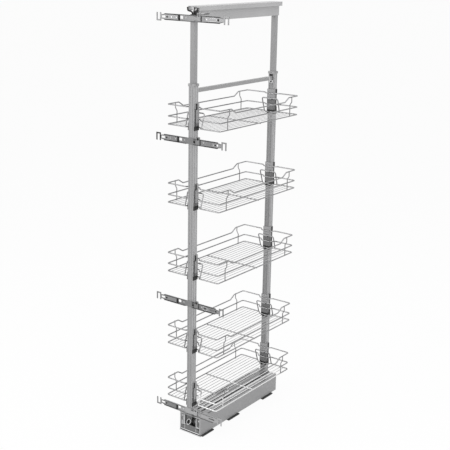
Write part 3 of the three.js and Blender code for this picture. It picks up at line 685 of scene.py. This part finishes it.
for place in ("front", "rear"):
    low, high = span(f"{place}_post")
    holes = bmesh.new()
    for height in HOLE_HEIGHTS:
        add_drum(holes, (HOLE_X, low.y, height), "y", HOLE_RADIUS, 6, segments=16)
    post = rounded_copy(f"{place}_post", POST_FINISH[place], edge=0.45, cutters=holes)
    refinish(post, lit_lacquer, faces_sideways)
    # The inner tubes take the lacquer's darker copy, painted shade, with plain lacquer on their side faces.
    tube = rounded_copy(f"{place}_inner_tube", shaded_lacquer, edge=1.2, segments=3)
    refinish(tube, lacquer, faces_sideways)
    rounded_copy(f"{place}_post_shoe", pale_zinc, edge=0.5)
    low, high = span(f"{place}_collar")
    rounded_copy(f"{place}_collar", lacquer, edge=1.0, segments=3, cutters=collar_bars(low, high, 1.9, 5, 0))
    # Dark discs inside the collars' holes: painted shade.
    built(f"{place}_collar_pins", collar_bars(low, high, 1.8, 1.2, 1.6), painted_shade, "carriage", 0.1)
print("holes in each post:", len(HOLE_HEIGHTS))

# %% Cross bar, its rear clip and the lock screws
rounded_copy("cross_bar", lacquer, edge=1.2, segments=3)
low, high = span("cross_bar")
block_piece(
    "cross_bar_clip", (low.x - 1, high.y - 27, low.z - 1), (high.x + 1, high.y - 22, high.z + 1),
    screw_steel, "carriage", 0.5)
for place, inward in (("front", 1), ("rear", -1)):
    node = f"{place}_lock_screw"
    low, high = span(node)
    centre = (low + high) / 2
    face = low.y if inward > 0 else high.y
    head = screw(node + "_head", (centre.x, face, centre.z), -inward * FORWARD, 3.5, 4, body_of_node[node])
    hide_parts(node)
low, high = span("rear_post")
# A dark patch high on the rear post's front: painted shade.
block_piece(
    "rear_post_upper_plug", (-7, low.y - 0.4, 1439.4), (7, low.y + 1, 1447), painted_shade, "carriage", 0.2)
block_piece(
    "rear_post_nut_plate", (-9, low.y - 0.5, 1411.5), (9, low.y + 1, 1422.5), screw_steel, "carriage", 0.4)
print("post:", [round(v, 1) for v in high - low])

# %% [markdown]
# ## Bending wire
#
# The guide's arms and the baskets are bent from round bar. A skin round each bend could be built
# point by point, but a curve with a round bevel needs only a path of corners and their radii.

# %% Bending a wire
def bent(corners, closed=False, steps=6):
    """Turns each corner (point, radius) into an arc."""
    points = []
    count = len(corners)
    for index, (corner, radius) in enumerate(corners):
        corner = Vector(corner)
        if radius == 0 or (not closed and index in (0, count - 1)):
            points.append(corner)
            continue
        before = Vector(corners[index - 1][0])
        after = Vector(corners[(index + 1) % count][0])
        incoming = (corner - before).normalized()
        outgoing = (after - corner).normalized()
        turn = incoming.angle(outgoing)
        start = corner - incoming * radius * math.tan(turn / 2)
        inward = (outgoing - incoming * incoming.dot(outgoing)).normalized()
        centre = start + inward * radius
        for step in range(steps + 1):
            angle = turn * step / steps
            points.append(centre - inward * radius * math.cos(angle) + incoming * radius * math.sin(angle))
    return points


# %% From paths to one mesh of wires
THIN = 1.5
ROUNDNESS = 4


def wire_mesh(name, wires):
    """wires are (points, radius, closed); the thin ones take the mesh's second finish."""
    curve = bpy.data.curves.new(name, "CURVE")
    configure(curve, {
        "dimensions": "3D", "bevel_depth": MM, "bevel_resolution": ROUNDNESS, "use_fill_caps": True})
    curve.materials.append(bright_wire)
    curve.materials.append(thin_wire)
    for points, radius, closed in wires:
        path = curve.splines.new("POLY")
        path.points.add(len(points) - 1)
        path.use_cyclic_u = closed
        path.material_index = 1 if radius < THIN else 0
        for spot, point in zip(path.points, points):
            spot.co = (*(point * MM), 1)
            spot.radius = radius
    thing = add_object(name, curve)
    mesh = final_mesh(thing)
    bpy.data.objects.remove(thing)
    mesh.shade_smooth()
    return mesh


# %% [markdown]
# ## Upper frame and top rail
#
# The inner tubes carry a beam. A black guide on the front tube has three ball ends that run at the
# mouth of a channel, which is screwed to the cabinet's ceiling, and a second guide runs in it at the
# rear. The front guide's solid is a simple block, so only its foot is kept, as a slice, and the balls
# and their curved arms are added as bent bar.

# %% Beam, rail and the foot of the front guide
# Beam and rail take the lacquer's paler copy: painted light.
rounded_copy("top_beam", lit_lacquer, edge=0.6)
rounded_copy("top_guide_rear", black_moulding, edge=0.4)
rounded_copy("top_rail", lit_lacquer, edge=0.5)
guide_low, guide_high = span("top_guide")
base = slice_of("top_guide", "top_guide_base", guide_low.z, guide_low.z + 9, black_moulding, 0.4)
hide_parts("top_guide")
print("guide:", [round(v, 1) for v in guide_high - guide_low])

# %% The guide's balls and arms
BALLS = {-1: (-23.6, -2.2), 0: (3, 6), 1: (24, -1.4)}
BALL_RADIUS, ARM_RADIUS, MIDDLE_ARM_RADIUS = 3.5, 3.0, 1.7
ball_z = guide_high.z - 1.4
ends = bmesh.new()
for x, y in BALLS.values():
    rise = 0 if x * y < 0 else 1
    bmesh.ops.create_uvsphere(
        ends, u_segments=20, v_segments=12, radius=BALL_RADIUS * MM,
        matrix=Matrix.Translation(Vector((x, y, ball_z + rise)) * MM))
built("top_guide_balls", ends, black_moulding, "upper_frame", 0)
arms = [([Vector((*BALLS[0], ball_z)), Vector((0, 1.8, guide_low.z + 10))], MIDDLE_ARM_RADIUS, False)]
for side in (-1, 1):
    x, y = BALLS[side]
    arms.append((bent([
        ((x, y, ball_z), 0), ((x - side, y, ball_z - 8.5), 4),
        ((side * 7, 1.0, ball_z - 12.5), 5), ((side * 3, 1.8, guide_low.z + 5), 0)]), ARM_RADIUS, False))
guide_arms = add_object("top_guide_arms", wire_mesh("top_guide_arms", arms))
finish_piece(guide_arms, black_moulding, "upper_frame")
print("guide arms:", len(arms))

# %% The rail's pale liner and its stop
LINER_SIDE, LINER_EDGE = 25.3, 25.2
low, high = span("top_rail")
front, back = low.y + 0.5, high.y - 0.5
liner = bmesh.new()
for side in (-1, 1):
    add_block(
        liner, (side * (LINER_SIDE + 0.16), front, low.z + 2), (side * LINER_SIDE, back, high.z - 2))
add_block(liner, (-LINER_EDGE, front, high.z - 2.2), (LINER_EDGE, back, high.z - 1.7))
built("top_rail_liner", liner, pale_liner, "top_rail", 0)
block_piece(
    "top_rail_stop", (-LINER_EDGE, low.y + 8.2, low.z + 1.8), (LINER_EDGE, low.y + 9.4, high.z - 1.8),
    pale_liner, "top_rail", 0.2)
print("rail:", [round(v, 1) for v in high - low])

# %% [markdown]
# ## Wire baskets
#
# A basket is welded round wire: three closed rails that step inward to pass the posts, thirteen floor
# wires, a cross wire under them, four stays that weave past the rails, and a leaning arch at each end
# that hangs on the hook. Each basket could be built by itself, but they are alike, so they share one
# mesh. The lowest one has a copy, because its wires get a painted highlight where they hang over the
# carriage.

# %% The sizes of a basket
HALF_WIDTH, HALF_LENGTH = 128, 266.5
CORNER, BEND, DIP_BEND = 8, 6, 9
WIRE, STAY_WIRE, CROSS_WIRE, FLOOR_WIRE = 2.5, 2.0, 2.3, 1.2
MID_RAIL, TOP_RAIL, DIP = 31.4, 77.7, 61
DIP_START, DIP_END = 198, 170
PASS = HALF_LENGTH - 18.4
PASS_INNER, PASS_OUTER = 21, 36
FLOOR_WIRES_EACH_SIDE, FLOOR_PITCH, SHORT_WITHIN = 6, 18, 28
STAY_Y, STAY_WEAVE = 214, WIRE + 1.5
ARCH_TOP = 57
low, high = span("basket_1")
print("basket solid:", [round(v, 1) for v in high - low])


# %% Rails, floor, stays and hangers
def rail(rise, dips=False):
    """A closed rail: one half of it, then the same half turned round."""
    half = [
        (-PASS_INNER, PASS, rise, BEND), (PASS_INNER, PASS, rise, BEND),
        (PASS_OUTER, HALF_LENGTH, rise, BEND), (HALF_WIDTH, HALF_LENGTH, rise, CORNER)]
    if dips:
        half += [
            (HALF_WIDTH, DIP_START, rise, DIP_BEND), (HALF_WIDTH, DIP_END, DIP, DIP_BEND),
            (HALF_WIDTH, -DIP_END, DIP, DIP_BEND), (HALF_WIDTH, -DIP_START, rise, DIP_BEND)]
    half += [(HALF_WIDTH, -HALF_LENGTH, rise, CORNER), (PASS_OUTER, -HALF_LENGTH, rise, BEND)]
    corners = [((x * turn, y * turn, z), radius) for turn in (1, -1) for x, y, z, radius in half]
    return bent(corners, closed=True), WIRE, True


def straight(start, end, radius):
    return [Vector(start), Vector(end)], radius, False


def stay(side, y):
    """A wire that weaves from inside the lower rails to outside the top one."""
    outer, inner = side * (HALF_WIDTH + STAY_WEAVE), side * (HALF_WIDTH - STAY_WEAVE)
    path = [((inner, y, -1.5), 0), ((inner, y, 46), 8), ((outer, y, 58), 8), ((outer, y, TOP_RAIL + 1.5), 0)]
    return bent(path, steps=4), STAY_WIRE, False


def arch(turn):
    """The leaning hanger at one end."""
    foot, top = turn * HALF_LENGTH, turn * PASS
    path = [
        ((-38.5, foot, 0), 0), ((-39.5, top, ARCH_TOP), 8), ((39.5, top, ARCH_TOP), 8), ((38.5, foot, 0), 0)]
    return bent(path), WIRE, False


def basket_wires():
    wires = [rail(0), rail(MID_RAIL), rail(TOP_RAIL, dips=True)]
    for index in range(-FLOOR_WIRES_EACH_SIDE, FLOOR_WIRES_EACH_SIDE + 1):
        x = index * FLOOR_PITCH
        end = PASS if abs(x) < SHORT_WITHIN else HALF_LENGTH
        wires.append(straight((x, -end, FLOOR_WIRE), (x, end, FLOOR_WIRE), FLOOR_WIRE))
    wires.append(straight((-HALF_WIDTH, 0, -2.7), (HALF_WIDTH, 0, -2.7), CROSS_WIRE))
    wires += [stay(side, y) for side in (-1, 1) for y in (-STAY_Y, STAY_Y)]
    wires += [arch(turn) for turn in (-1, 1)]
    return wires


basket_mesh = wire_mesh("basket_wires", basket_wires())
print("basket wires:", len(basket_wires()), "faces:", len(basket_mesh.polygons))

# %% The lowest basket's own finish: a painted highlight where it hangs over the carriage
HIGHLIGHT_FADES = {"X": (0, 10), "Y": (210, 180), "Z": (52, 36)}


def painted_highlight(wire, grey, metallic):
    """A copy of a wire's finish that fades to a painted highlight, between two places on each axis."""
    material = wire.copy()
    material.name = "polished " + wire.name
    tree = material.node_tree
    shader = tree.nodes["Principled BSDF"]
    own_colour = shader.inputs["Base Color"].links[0].from_socket
    axes = add_node(tree, "SeparateXYZ", {0: add_node(tree, "TexCoord").outputs["Object"]})
    share = None
    for axis, (start, end) in HIGHLIGHT_FADES.items():
        mask = remap(tree, axes.outputs[axis], (start * MM, end * MM))
        share = mask if share is None else combine(tree, "MULTIPLY", share, mask)
    pale = (*even(srgb(grey)), 1)
    blend = add_node(tree, "Mix", {"Factor": share, "A": own_colour, "B": pale}, data_type="RGBA")
    metal = remap(tree, share, target=(shader.inputs["Metallic"].default_value, metallic))
    set_inputs(tree, shader, {"Base Color": blend.outputs["Result"], "Metallic": metal})
    return material


low_basket_mesh = basket_mesh.copy()
low_basket_mesh.name = "low_basket_wires"
low_basket_mesh.materials[0] = painted_highlight(bright_wire, 230, 0.5)
low_basket_mesh.materials[1] = painted_highlight(thin_wire, 255, 0.0)
print("own finishes:", [material.name for material in low_basket_mesh.materials])

# %% Five baskets that share one shape
NUMBERS = range(1, 6)
LOWEST = 5
for number in NUMBERS:
    node = f"basket_{number}"
    low, high = span(node)
    basket = add_object(node + "_wires", low_basket_mesh if number == LOWEST else basket_mesh)
    basket.location = (0, (low.y + high.y) / 2 * MM, (high.z - TOP_RAIL - WIRE) * MM)
    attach(basket, node)
    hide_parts(node)
print("baskets:", len(NUMBERS))

# %% [markdown]
# ## Hooks
#
# A hook is a grey plastic saddle that slips over the post's inner side. Below it closes with a
# black clip, and near the top a small black latch holds it at its height. A thin black strip along
# the saddle's front edge is painted shadow, for the gap between saddle and post. The five front hooks are
# alike and so are the five rear ones, so each kind is made once, from slices of its solid that get
# different plastics, and the others share its meshes at their own heights.

# %% One hook, in slices: heights from its foot, and reaches along the post
CLIP = 17
SHOULDER = {"front": 29, "rear": 63}
LATCH_BOTTOM, LATCH_TOP = 80, 103.6
LATCH_ACROSS = {"front": (-5.4, 2.6), "rear": (-0.5, 9.5)}
SHADOW_GAP_ACROSS = {"front": (-8.2, -4.8), "rear": (1.5, 8.2)}


def side_plates(near, far):
    """A plate on each side of the post."""
    bm = bmesh.new()
    for turn in (-1, 1):
        add_block(bm, (turn * near[0], *near[1:]), (turn * far[0], *far[1:]))
    return bm


def make_hook(place):
    """The pieces of the top basket's hook on one post."""
    node = f"hook_1_{place}"
    axis_y = sum(corner.y for corner in span(f"{place}_post")) / 2
    low, high = span(node)
    shoulder = low.z + SHOULDER[place]
    front, back = (axis_y + across for across in LATCH_ACROSS[place])
    latch = side_plates((high.x - 1, front, low.z + LATCH_BOTTOM), (high.x + 1.6, back, low.z + LATCH_TOP))
    # A thin black strip along the saddle's front edge: painted shadow of the gap.
    front, back = (axis_y + across for across in SHADOW_GAP_ACROSS[place])
    shadow_gap = side_plates(
        (high.x - 0.5, front, low.z + CLIP - 2), (high.x + 0.3, back, low.z + LATCH_BOTTOM + 3))
    body = body_of_node[node]
    return [
        slice_of(node, f"{node}_clip", low.z, low.z + CLIP, black_moulding, 0.6),
        slice_of(node, f"{node}_shoulder", low.z + CLIP, shoulder, dark_moulding, 0.5),
        slice_of(node, f"{node}_saddle", shoulder, high.z, grey_moulding, 0.6),
        built(f"{node}_latch", latch, black_moulding, body, 0.4),
        built(f"{node}_strap", shadow_gap, black_moulding, body, 0),
    ]


# %% Ten hooks
for place in ("front", "rear"):
    pieces = make_hook(place)
    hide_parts(f"hook_1_{place}")
    first, _ = span(f"hook_1_{place}")
    for number in NUMBERS[1:]:
        node = f"hook_{number}_{place}"
        low, _ = span(node)
        for piece in pieces:
            twin = add_object(piece.name.replace("hook_1", f"hook_{number}"), piece.data)
            twin.location.z = (low.z - first.z) * MM
            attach(twin, body_of_node[node])
            if piece is pieces[0]:
                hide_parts(node)
print("hooks:", 2 * len(NUMBERS))

# %% [markdown]
# ## Door brackets
#
# Each bracket is a zinc channel clamped across the front post. A plate slides out of it at each
# side to suit the door's width and ends in a fork. The pressed solids are right as they are, so
# they get rounded edges; the faces along the channel's rims get painted shade, and the forks a
# darker finish.

# %% Where the brackets are, and the front face and middle height of their arms
BRACKETS = range(1, 5)
SIDE_OF = {"left": -1, "right": 1}
arm_face = {number: span(f"bracket_{number}_arm_left")[0].y for number in BRACKETS}
middle = {number: sum(corner.z for corner in span(f"bracket_{number}_bar")) / 2 for number in BRACKETS}
RIM_DEPTH = 0.9
FORK_START = 146
SHADOW_STRIP_OUTLINE = [(65, 8.2), (129, 8.2), (146, 5.4), (146, 7.2), (129, 10.2), (65, 10.2)]


def arm_of(number, arm):
    return f"bracket_{number}_arm_{arm}"


def arm_shadow_strip(number, arm):
    """Painted shadow along the arm's upper and lower edge, where it meets the bar's flanges."""
    face, z = arm_face[number], middle[number]
    bm = bmesh.new()
    for edge in (-1, 1):
        add_prism(
            bm, [(SIDE_OF[arm] * x, z + edge * height) for x, height in SHADOW_STRIP_OUTLINE], "y", face - 0.5, face + 0.4)
    built(f"bracket_{number}_border_{arm}", bm, painted_rim_shade, arm_of(number, arm), 0.1)


def arm_block(number, arm, name, across, depth, height, material, edge=0.1):
    """A block on an arm, from pairs of distances along it, behind its face and above its middle."""
    low, high = moved(zip(across, depth, height), (0, arm_face[number], middle[number]))
    block_piece(name, low, high, material, arm_of(number, arm), edge)


# %% Four brackets, each with its bar, arms, clamp and screws
NARROW_POST, WIDE_POST = 10, 13
CLAMPS_WITH_WINDOW = (2, 3)
# The lowest bracket takes the zinc's paler copy, painted light.
LIGHT_BRACKET = 4
CLAMP_SCREW_INSET, CLAMP_SCREW_RISE, CLAMP_SCREW_RADIUS, SCREW_DEPTH = 8.5, 13, 4.4, 2.2
CLAMP_HOLE_RADIUS = 5.2
WINDOW = ((3.4, -2, -4.6), (12.4, 3.5, 4.6))
WINDOW_SHADE = ((2.6, 2.2, -5.6), (13.4, 4.2, 5.6))


def bar_and_arms(number):
    light = number == LIGHT_BRACKET
    low, _ = span(f"bracket_{number}_bar")
    bar = rounded_copy(f"bracket_{number}_bar", lit_zinc if light else zinc, edge=0.45)
    # The faces along the bar's rims take painted shade.
    refinish(bar, painted_rim_shade, lambda face: abs(face.center.y - low.y * MM) < RIM_DEPTH * MM)
    for arm in SIDE_OF:
        plain = light and arm == "right"
        plate = rounded_copy(arm_of(number, arm), lit_zinc if plain else pale_zinc, edge=0.45)
        if not plain:
            refinish(plate, dark_screw_steel, lambda face: abs(face.center.x) > FORK_START * MM)
    for arm in ("left",) if light else SIDE_OF:
        arm_shadow_strip(number, arm)


def clamp(number):
    body = body_of_node[f"bracket_{number}_bar"]
    windowed = number in CLAMPS_WITH_WINDOW
    low, high = span(f"bracket_{number}_clamp")
    beside = (NARROW_POST if number == 1 else WIDE_POST, low.y, middle[number])
    screw_at = Vector((high.x - CLAMP_SCREW_INSET, low.y, middle[number] + CLAMP_SCREW_RISE))
    openings = bmesh.new()
    add_drum(openings, screw_at, "y", CLAMP_HOLE_RADIUS, 2 * SCREW_DEPTH)
    if windowed:
        add_block(openings, *moved(WINDOW, beside))
        block_piece(f"bracket_{number}_clamp_shade", *moved(WINDOW_SHADE, beside), painted_shade, body, 0.1)
    material = lit_zinc if number == LIGHT_BRACKET else zinc
    rounded_copy(f"bracket_{number}_clamp", material, edge=0.6, cutters=openings)
    seat = screw_at + Vector((0, SCREW_DEPTH, 0))
    head = dark_screw_steel if windowed else zinc
    screw(f"bracket_{number}_clamp_screw", seat, FORWARD, CLAMP_SCREW_RADIUS, SCREW_DEPTH, body, head)


for number in BRACKETS:
    bar_and_arms(number)
    clamp(number)
    screw(
        f"bracket_{number}_arm_screw", (-118, arm_face[number], middle[number]), FORWARD, 3.6, 2.0,
        f"bracket_{number}_arm_left")
    arm_block(
        number, "left", f"bracket_{number}_end_piece_left", (-65.2, -58.8), (-1.4, 1.8), (-10, 10),
        black_moulding, 0.6)
print("brackets:", len(BRACKETS))

# %% [markdown]
# ## The small things on the arms
#
# An arm is no flat plate: it has pressed ridges, round dimples, a long oval rim and screws, and which
# ones differs from bracket to bracket. One texture could fake them all, but real shapes catch the
# light, so each is a small mesh. Distances along an arm are measured from the unit's middle.

# %% A dimple, an oval rim, ridges and a filler
RIDGE_PITCH, RIDGE_HALF, RIDGE_REACH = 4, 0.9, 6.5
OVAL_STEPS, OVAL_WIRE = 24, 0.8
FILLER_HALF = 5


def arm_dimple(number, arm, x, radius=2.6, material=screw_steel):
    bm = bmesh.new()
    add_drum(bm, (x, arm_face[number] - 0.2, middle[number]), "y", radius, 0.9, segments=28)
    name = f"bracket_{number}_dimple_{arm}_{round(abs(x))}"
    built(name, bm, material, arm_of(number, arm))


def arm_oval(number, arm, left, right, half):
    """A raised rim in the form of a long oval."""
    points = []
    for turn in range(OVAL_STEPS):
        angle = math.tau * turn / OVAL_STEPS
        end = right - half if math.cos(angle) > 0 else left + half
        points.append(Vector((
            end + half * math.cos(angle), arm_face[number] - 0.2, middle[number] + half * math.sin(angle))))
    name = f"bracket_{number}_oval_{arm}"
    rim = add_object(name, wire_mesh(name, [(points, OVAL_WIRE, True)]))
    finish_piece(rim, screw_steel, arm_of(number, arm))


def arm_ridges(number, arm, start, end):
    face, z = arm_face[number], middle[number]
    bm = bmesh.new()
    for x in range(start, end + 1, RIDGE_PITCH):
        outline = [(x - RIDGE_HALF, face + 0.1), (x, face - 0.5), (x + RIDGE_HALF, face + 0.1)]
        add_prism(bm, outline, "z", z - RIDGE_REACH, z + RIDGE_REACH)
    built(f"bracket_{number}_ridges_{arm}", bm, pale_zinc, arm_of(number, arm), 0)


def arm_filler(number, arm, left, right, material):
    """A plate behind an opening of the arm; a dark one paints the opening's shade."""
    arm_block(
        number, arm, f"bracket_{number}_filler_{arm}_{left}", (left, right), (0.5, 1.9),
        (-FILLER_HALF, FILLER_HALF), material)


# %% What each arm has
for number, x in ((1, -96), (1, -73), (2, -99), (2, -73)):
    arm_dimple(number, "left", x)
arm_ridges(2, "left", -106, -68)
arm_ridges(4, "left", -110, -68)
arm_dimple(1, "right", 69)
arm_oval(1, "right", 76, 116, 6)
# A dark filler: painted shade in the arm's opening.
arm_filler(1, "right", 118, 128, painted_shade)
arm_ridges(2, "right", 66, 102)
arm_dimple(2, "right", 112)
screw("bracket_2_right_screw", (120, arm_face[2], middle[2]), FORWARD, 3.2, 2.0, "bracket_2_arm_right")
arm_oval(3, "right", 66, 96, 6.5)
arm_dimple(3, "right", 80, 4, dark_screw_steel)
# Bracket 3's dark fillers and bracket 4's slot are painted shade; bracket 4's filler takes the zinc's paler
# copy, painted light.
arm_filler(3, "right", 102, 131, dark_moulding)
arm_filler(3, "right", 131, 138, painted_shade)
arm_filler(4, "right", 102, 138, lit_zinc)
arm_block(4, "right", "bracket_4_right_slot", (106, 134), (0.2, 0.6), (-1.4, 2.2), painted_shade)

# %% [markdown]
# ## Floor, light and camera
#
# The unit stands in a white studio with hardly any shadow. Strong lamps could burn the floor to
# white, but they would bleach the metal too. So floor and world are nearly white only where the
# camera or a reflection sees them, and three large soft lamps shape the object.

# %% The floor
FLOOR_SIZE, FLOOR_GREY = 60, 0.94
FLOOR_WHITE = 0.93


def seen_directly(tree, *more):
    """1 for rays from the camera, a reflection or another kind that is named."""
    rays = add_node(tree, "LightPath")
    seen = rays.outputs["Is Camera Ray"]
    for kind in ("Is Glossy Ray", *more):
        seen = combine(tree, "MAXIMUM", seen, rays.outputs[kind])
    return seen


bm = bmesh.new()
bmesh.ops.create_grid(bm, x_segments=1, y_segments=1, size=FLOOR_SIZE)
floor = object_from("studio_floor", bm)
floor_finish = bpy.data.materials.new("pale studio floor")
floor_finish.use_nodes = True
tree = floor_finish.node_tree
shader = tree.nodes["Principled BSDF"]
set_inputs(tree, shader, {
    "Base Color": (*even(FLOOR_GREY), 1), "Roughness": 0.9, "Specular IOR Level": 0.0})
white = add_node(tree, "Emission", {"Strength": 1.0})
share = combine(tree, "MULTIPLY", seen_directly(tree), FLOOR_WHITE)
mixed = add_node(tree, "MixShader", {0: share, 1: shader.outputs[0], 2: white.outputs[0]})
set_inputs(tree, tree.nodes["Material Output"], {"Surface": mixed.outputs[0]})
floor.data.materials.append(floor_finish)
print("floor:", floor.name)

# %% The world
WORLD_LIGHT, WORLD_SEEN = 0.62, 1.0
world = bpy.data.worlds.new("white studio")
bpy.context.scene.world = world
world.use_nodes = True
tree = world.node_tree
level = remap(tree, seen_directly(tree, "Is Transmission Ray"), target=(WORLD_LIGHT, WORLD_SEEN))
set_inputs(tree, tree.nodes["Background"], {"Color": (1, 1, 1, 1), "Strength": level})
print("world:", world.name)

# %% Three soft lamps: place, target and size in metres, power in watts
LAMPS = {
    "front_softbox": ((-1.8, -3.2, 2.6), (0, 0.2, 0.9), (2.2, 2.6), 55),
    "right_softbox": ((3.4, -0.6, 2.2), (0, 0.3, 0.9), (1.6, 2.4), 28),
    "top_softbox": ((0.2, 0.4, 3.8), (0, 0.27, 0.8), (2.4, 2.4), 30),
}
for name, (place, target, size, power) in LAMPS.items():
    lamp = bpy.data.lights.new(name, "AREA")
    lamp.shape = "RECTANGLE"
    lamp.size, lamp.size_y = size
    lamp.energy = power
    holder = add_object(name, lamp)
    holder.location = place
    aim = Vector(target) - Vector(place)
    holder.rotation_euler = aim.to_track_quat("-Z", "Y").to_euler()
print("lamps:", len(LAMPS))

# %% The camera
PHOTO_WIDTH, FOCAL_PIXELS = 450, 960.6
SENSOR = 36
CAMERA_PLACE = (2.2597, -2.8259, 1.9475)
CAMERA_TURN = {"yaw": 36.57, "tilt": 16.04, "roll": 0.99}
camera_data = bpy.data.cameras.new("photo_camera")
camera_data.sensor_width = SENSOR
camera_data.lens = SENSOR * FOCAL_PIXELS / PHOTO_WIDTH
camera_data.clip_end = 200
camera = add_object("photo_camera", camera_data)
yaw, tilt, roll = (math.radians(angle) for angle in CAMERA_TURN.values())
camera.matrix_world = (
    Matrix.Translation(CAMERA_PLACE) @ Matrix.Rotation(yaw, 4, "Z")
    @ Matrix.Rotation(math.pi / 2 - tilt, 4, "X") @ Matrix.Rotation(roll, 4, "Z"))
bpy.context.scene.camera = camera
bpy.context.scene.view_settings.view_transform = "Standard"
print("camera:", [round(v, 3) for v in camera.location])
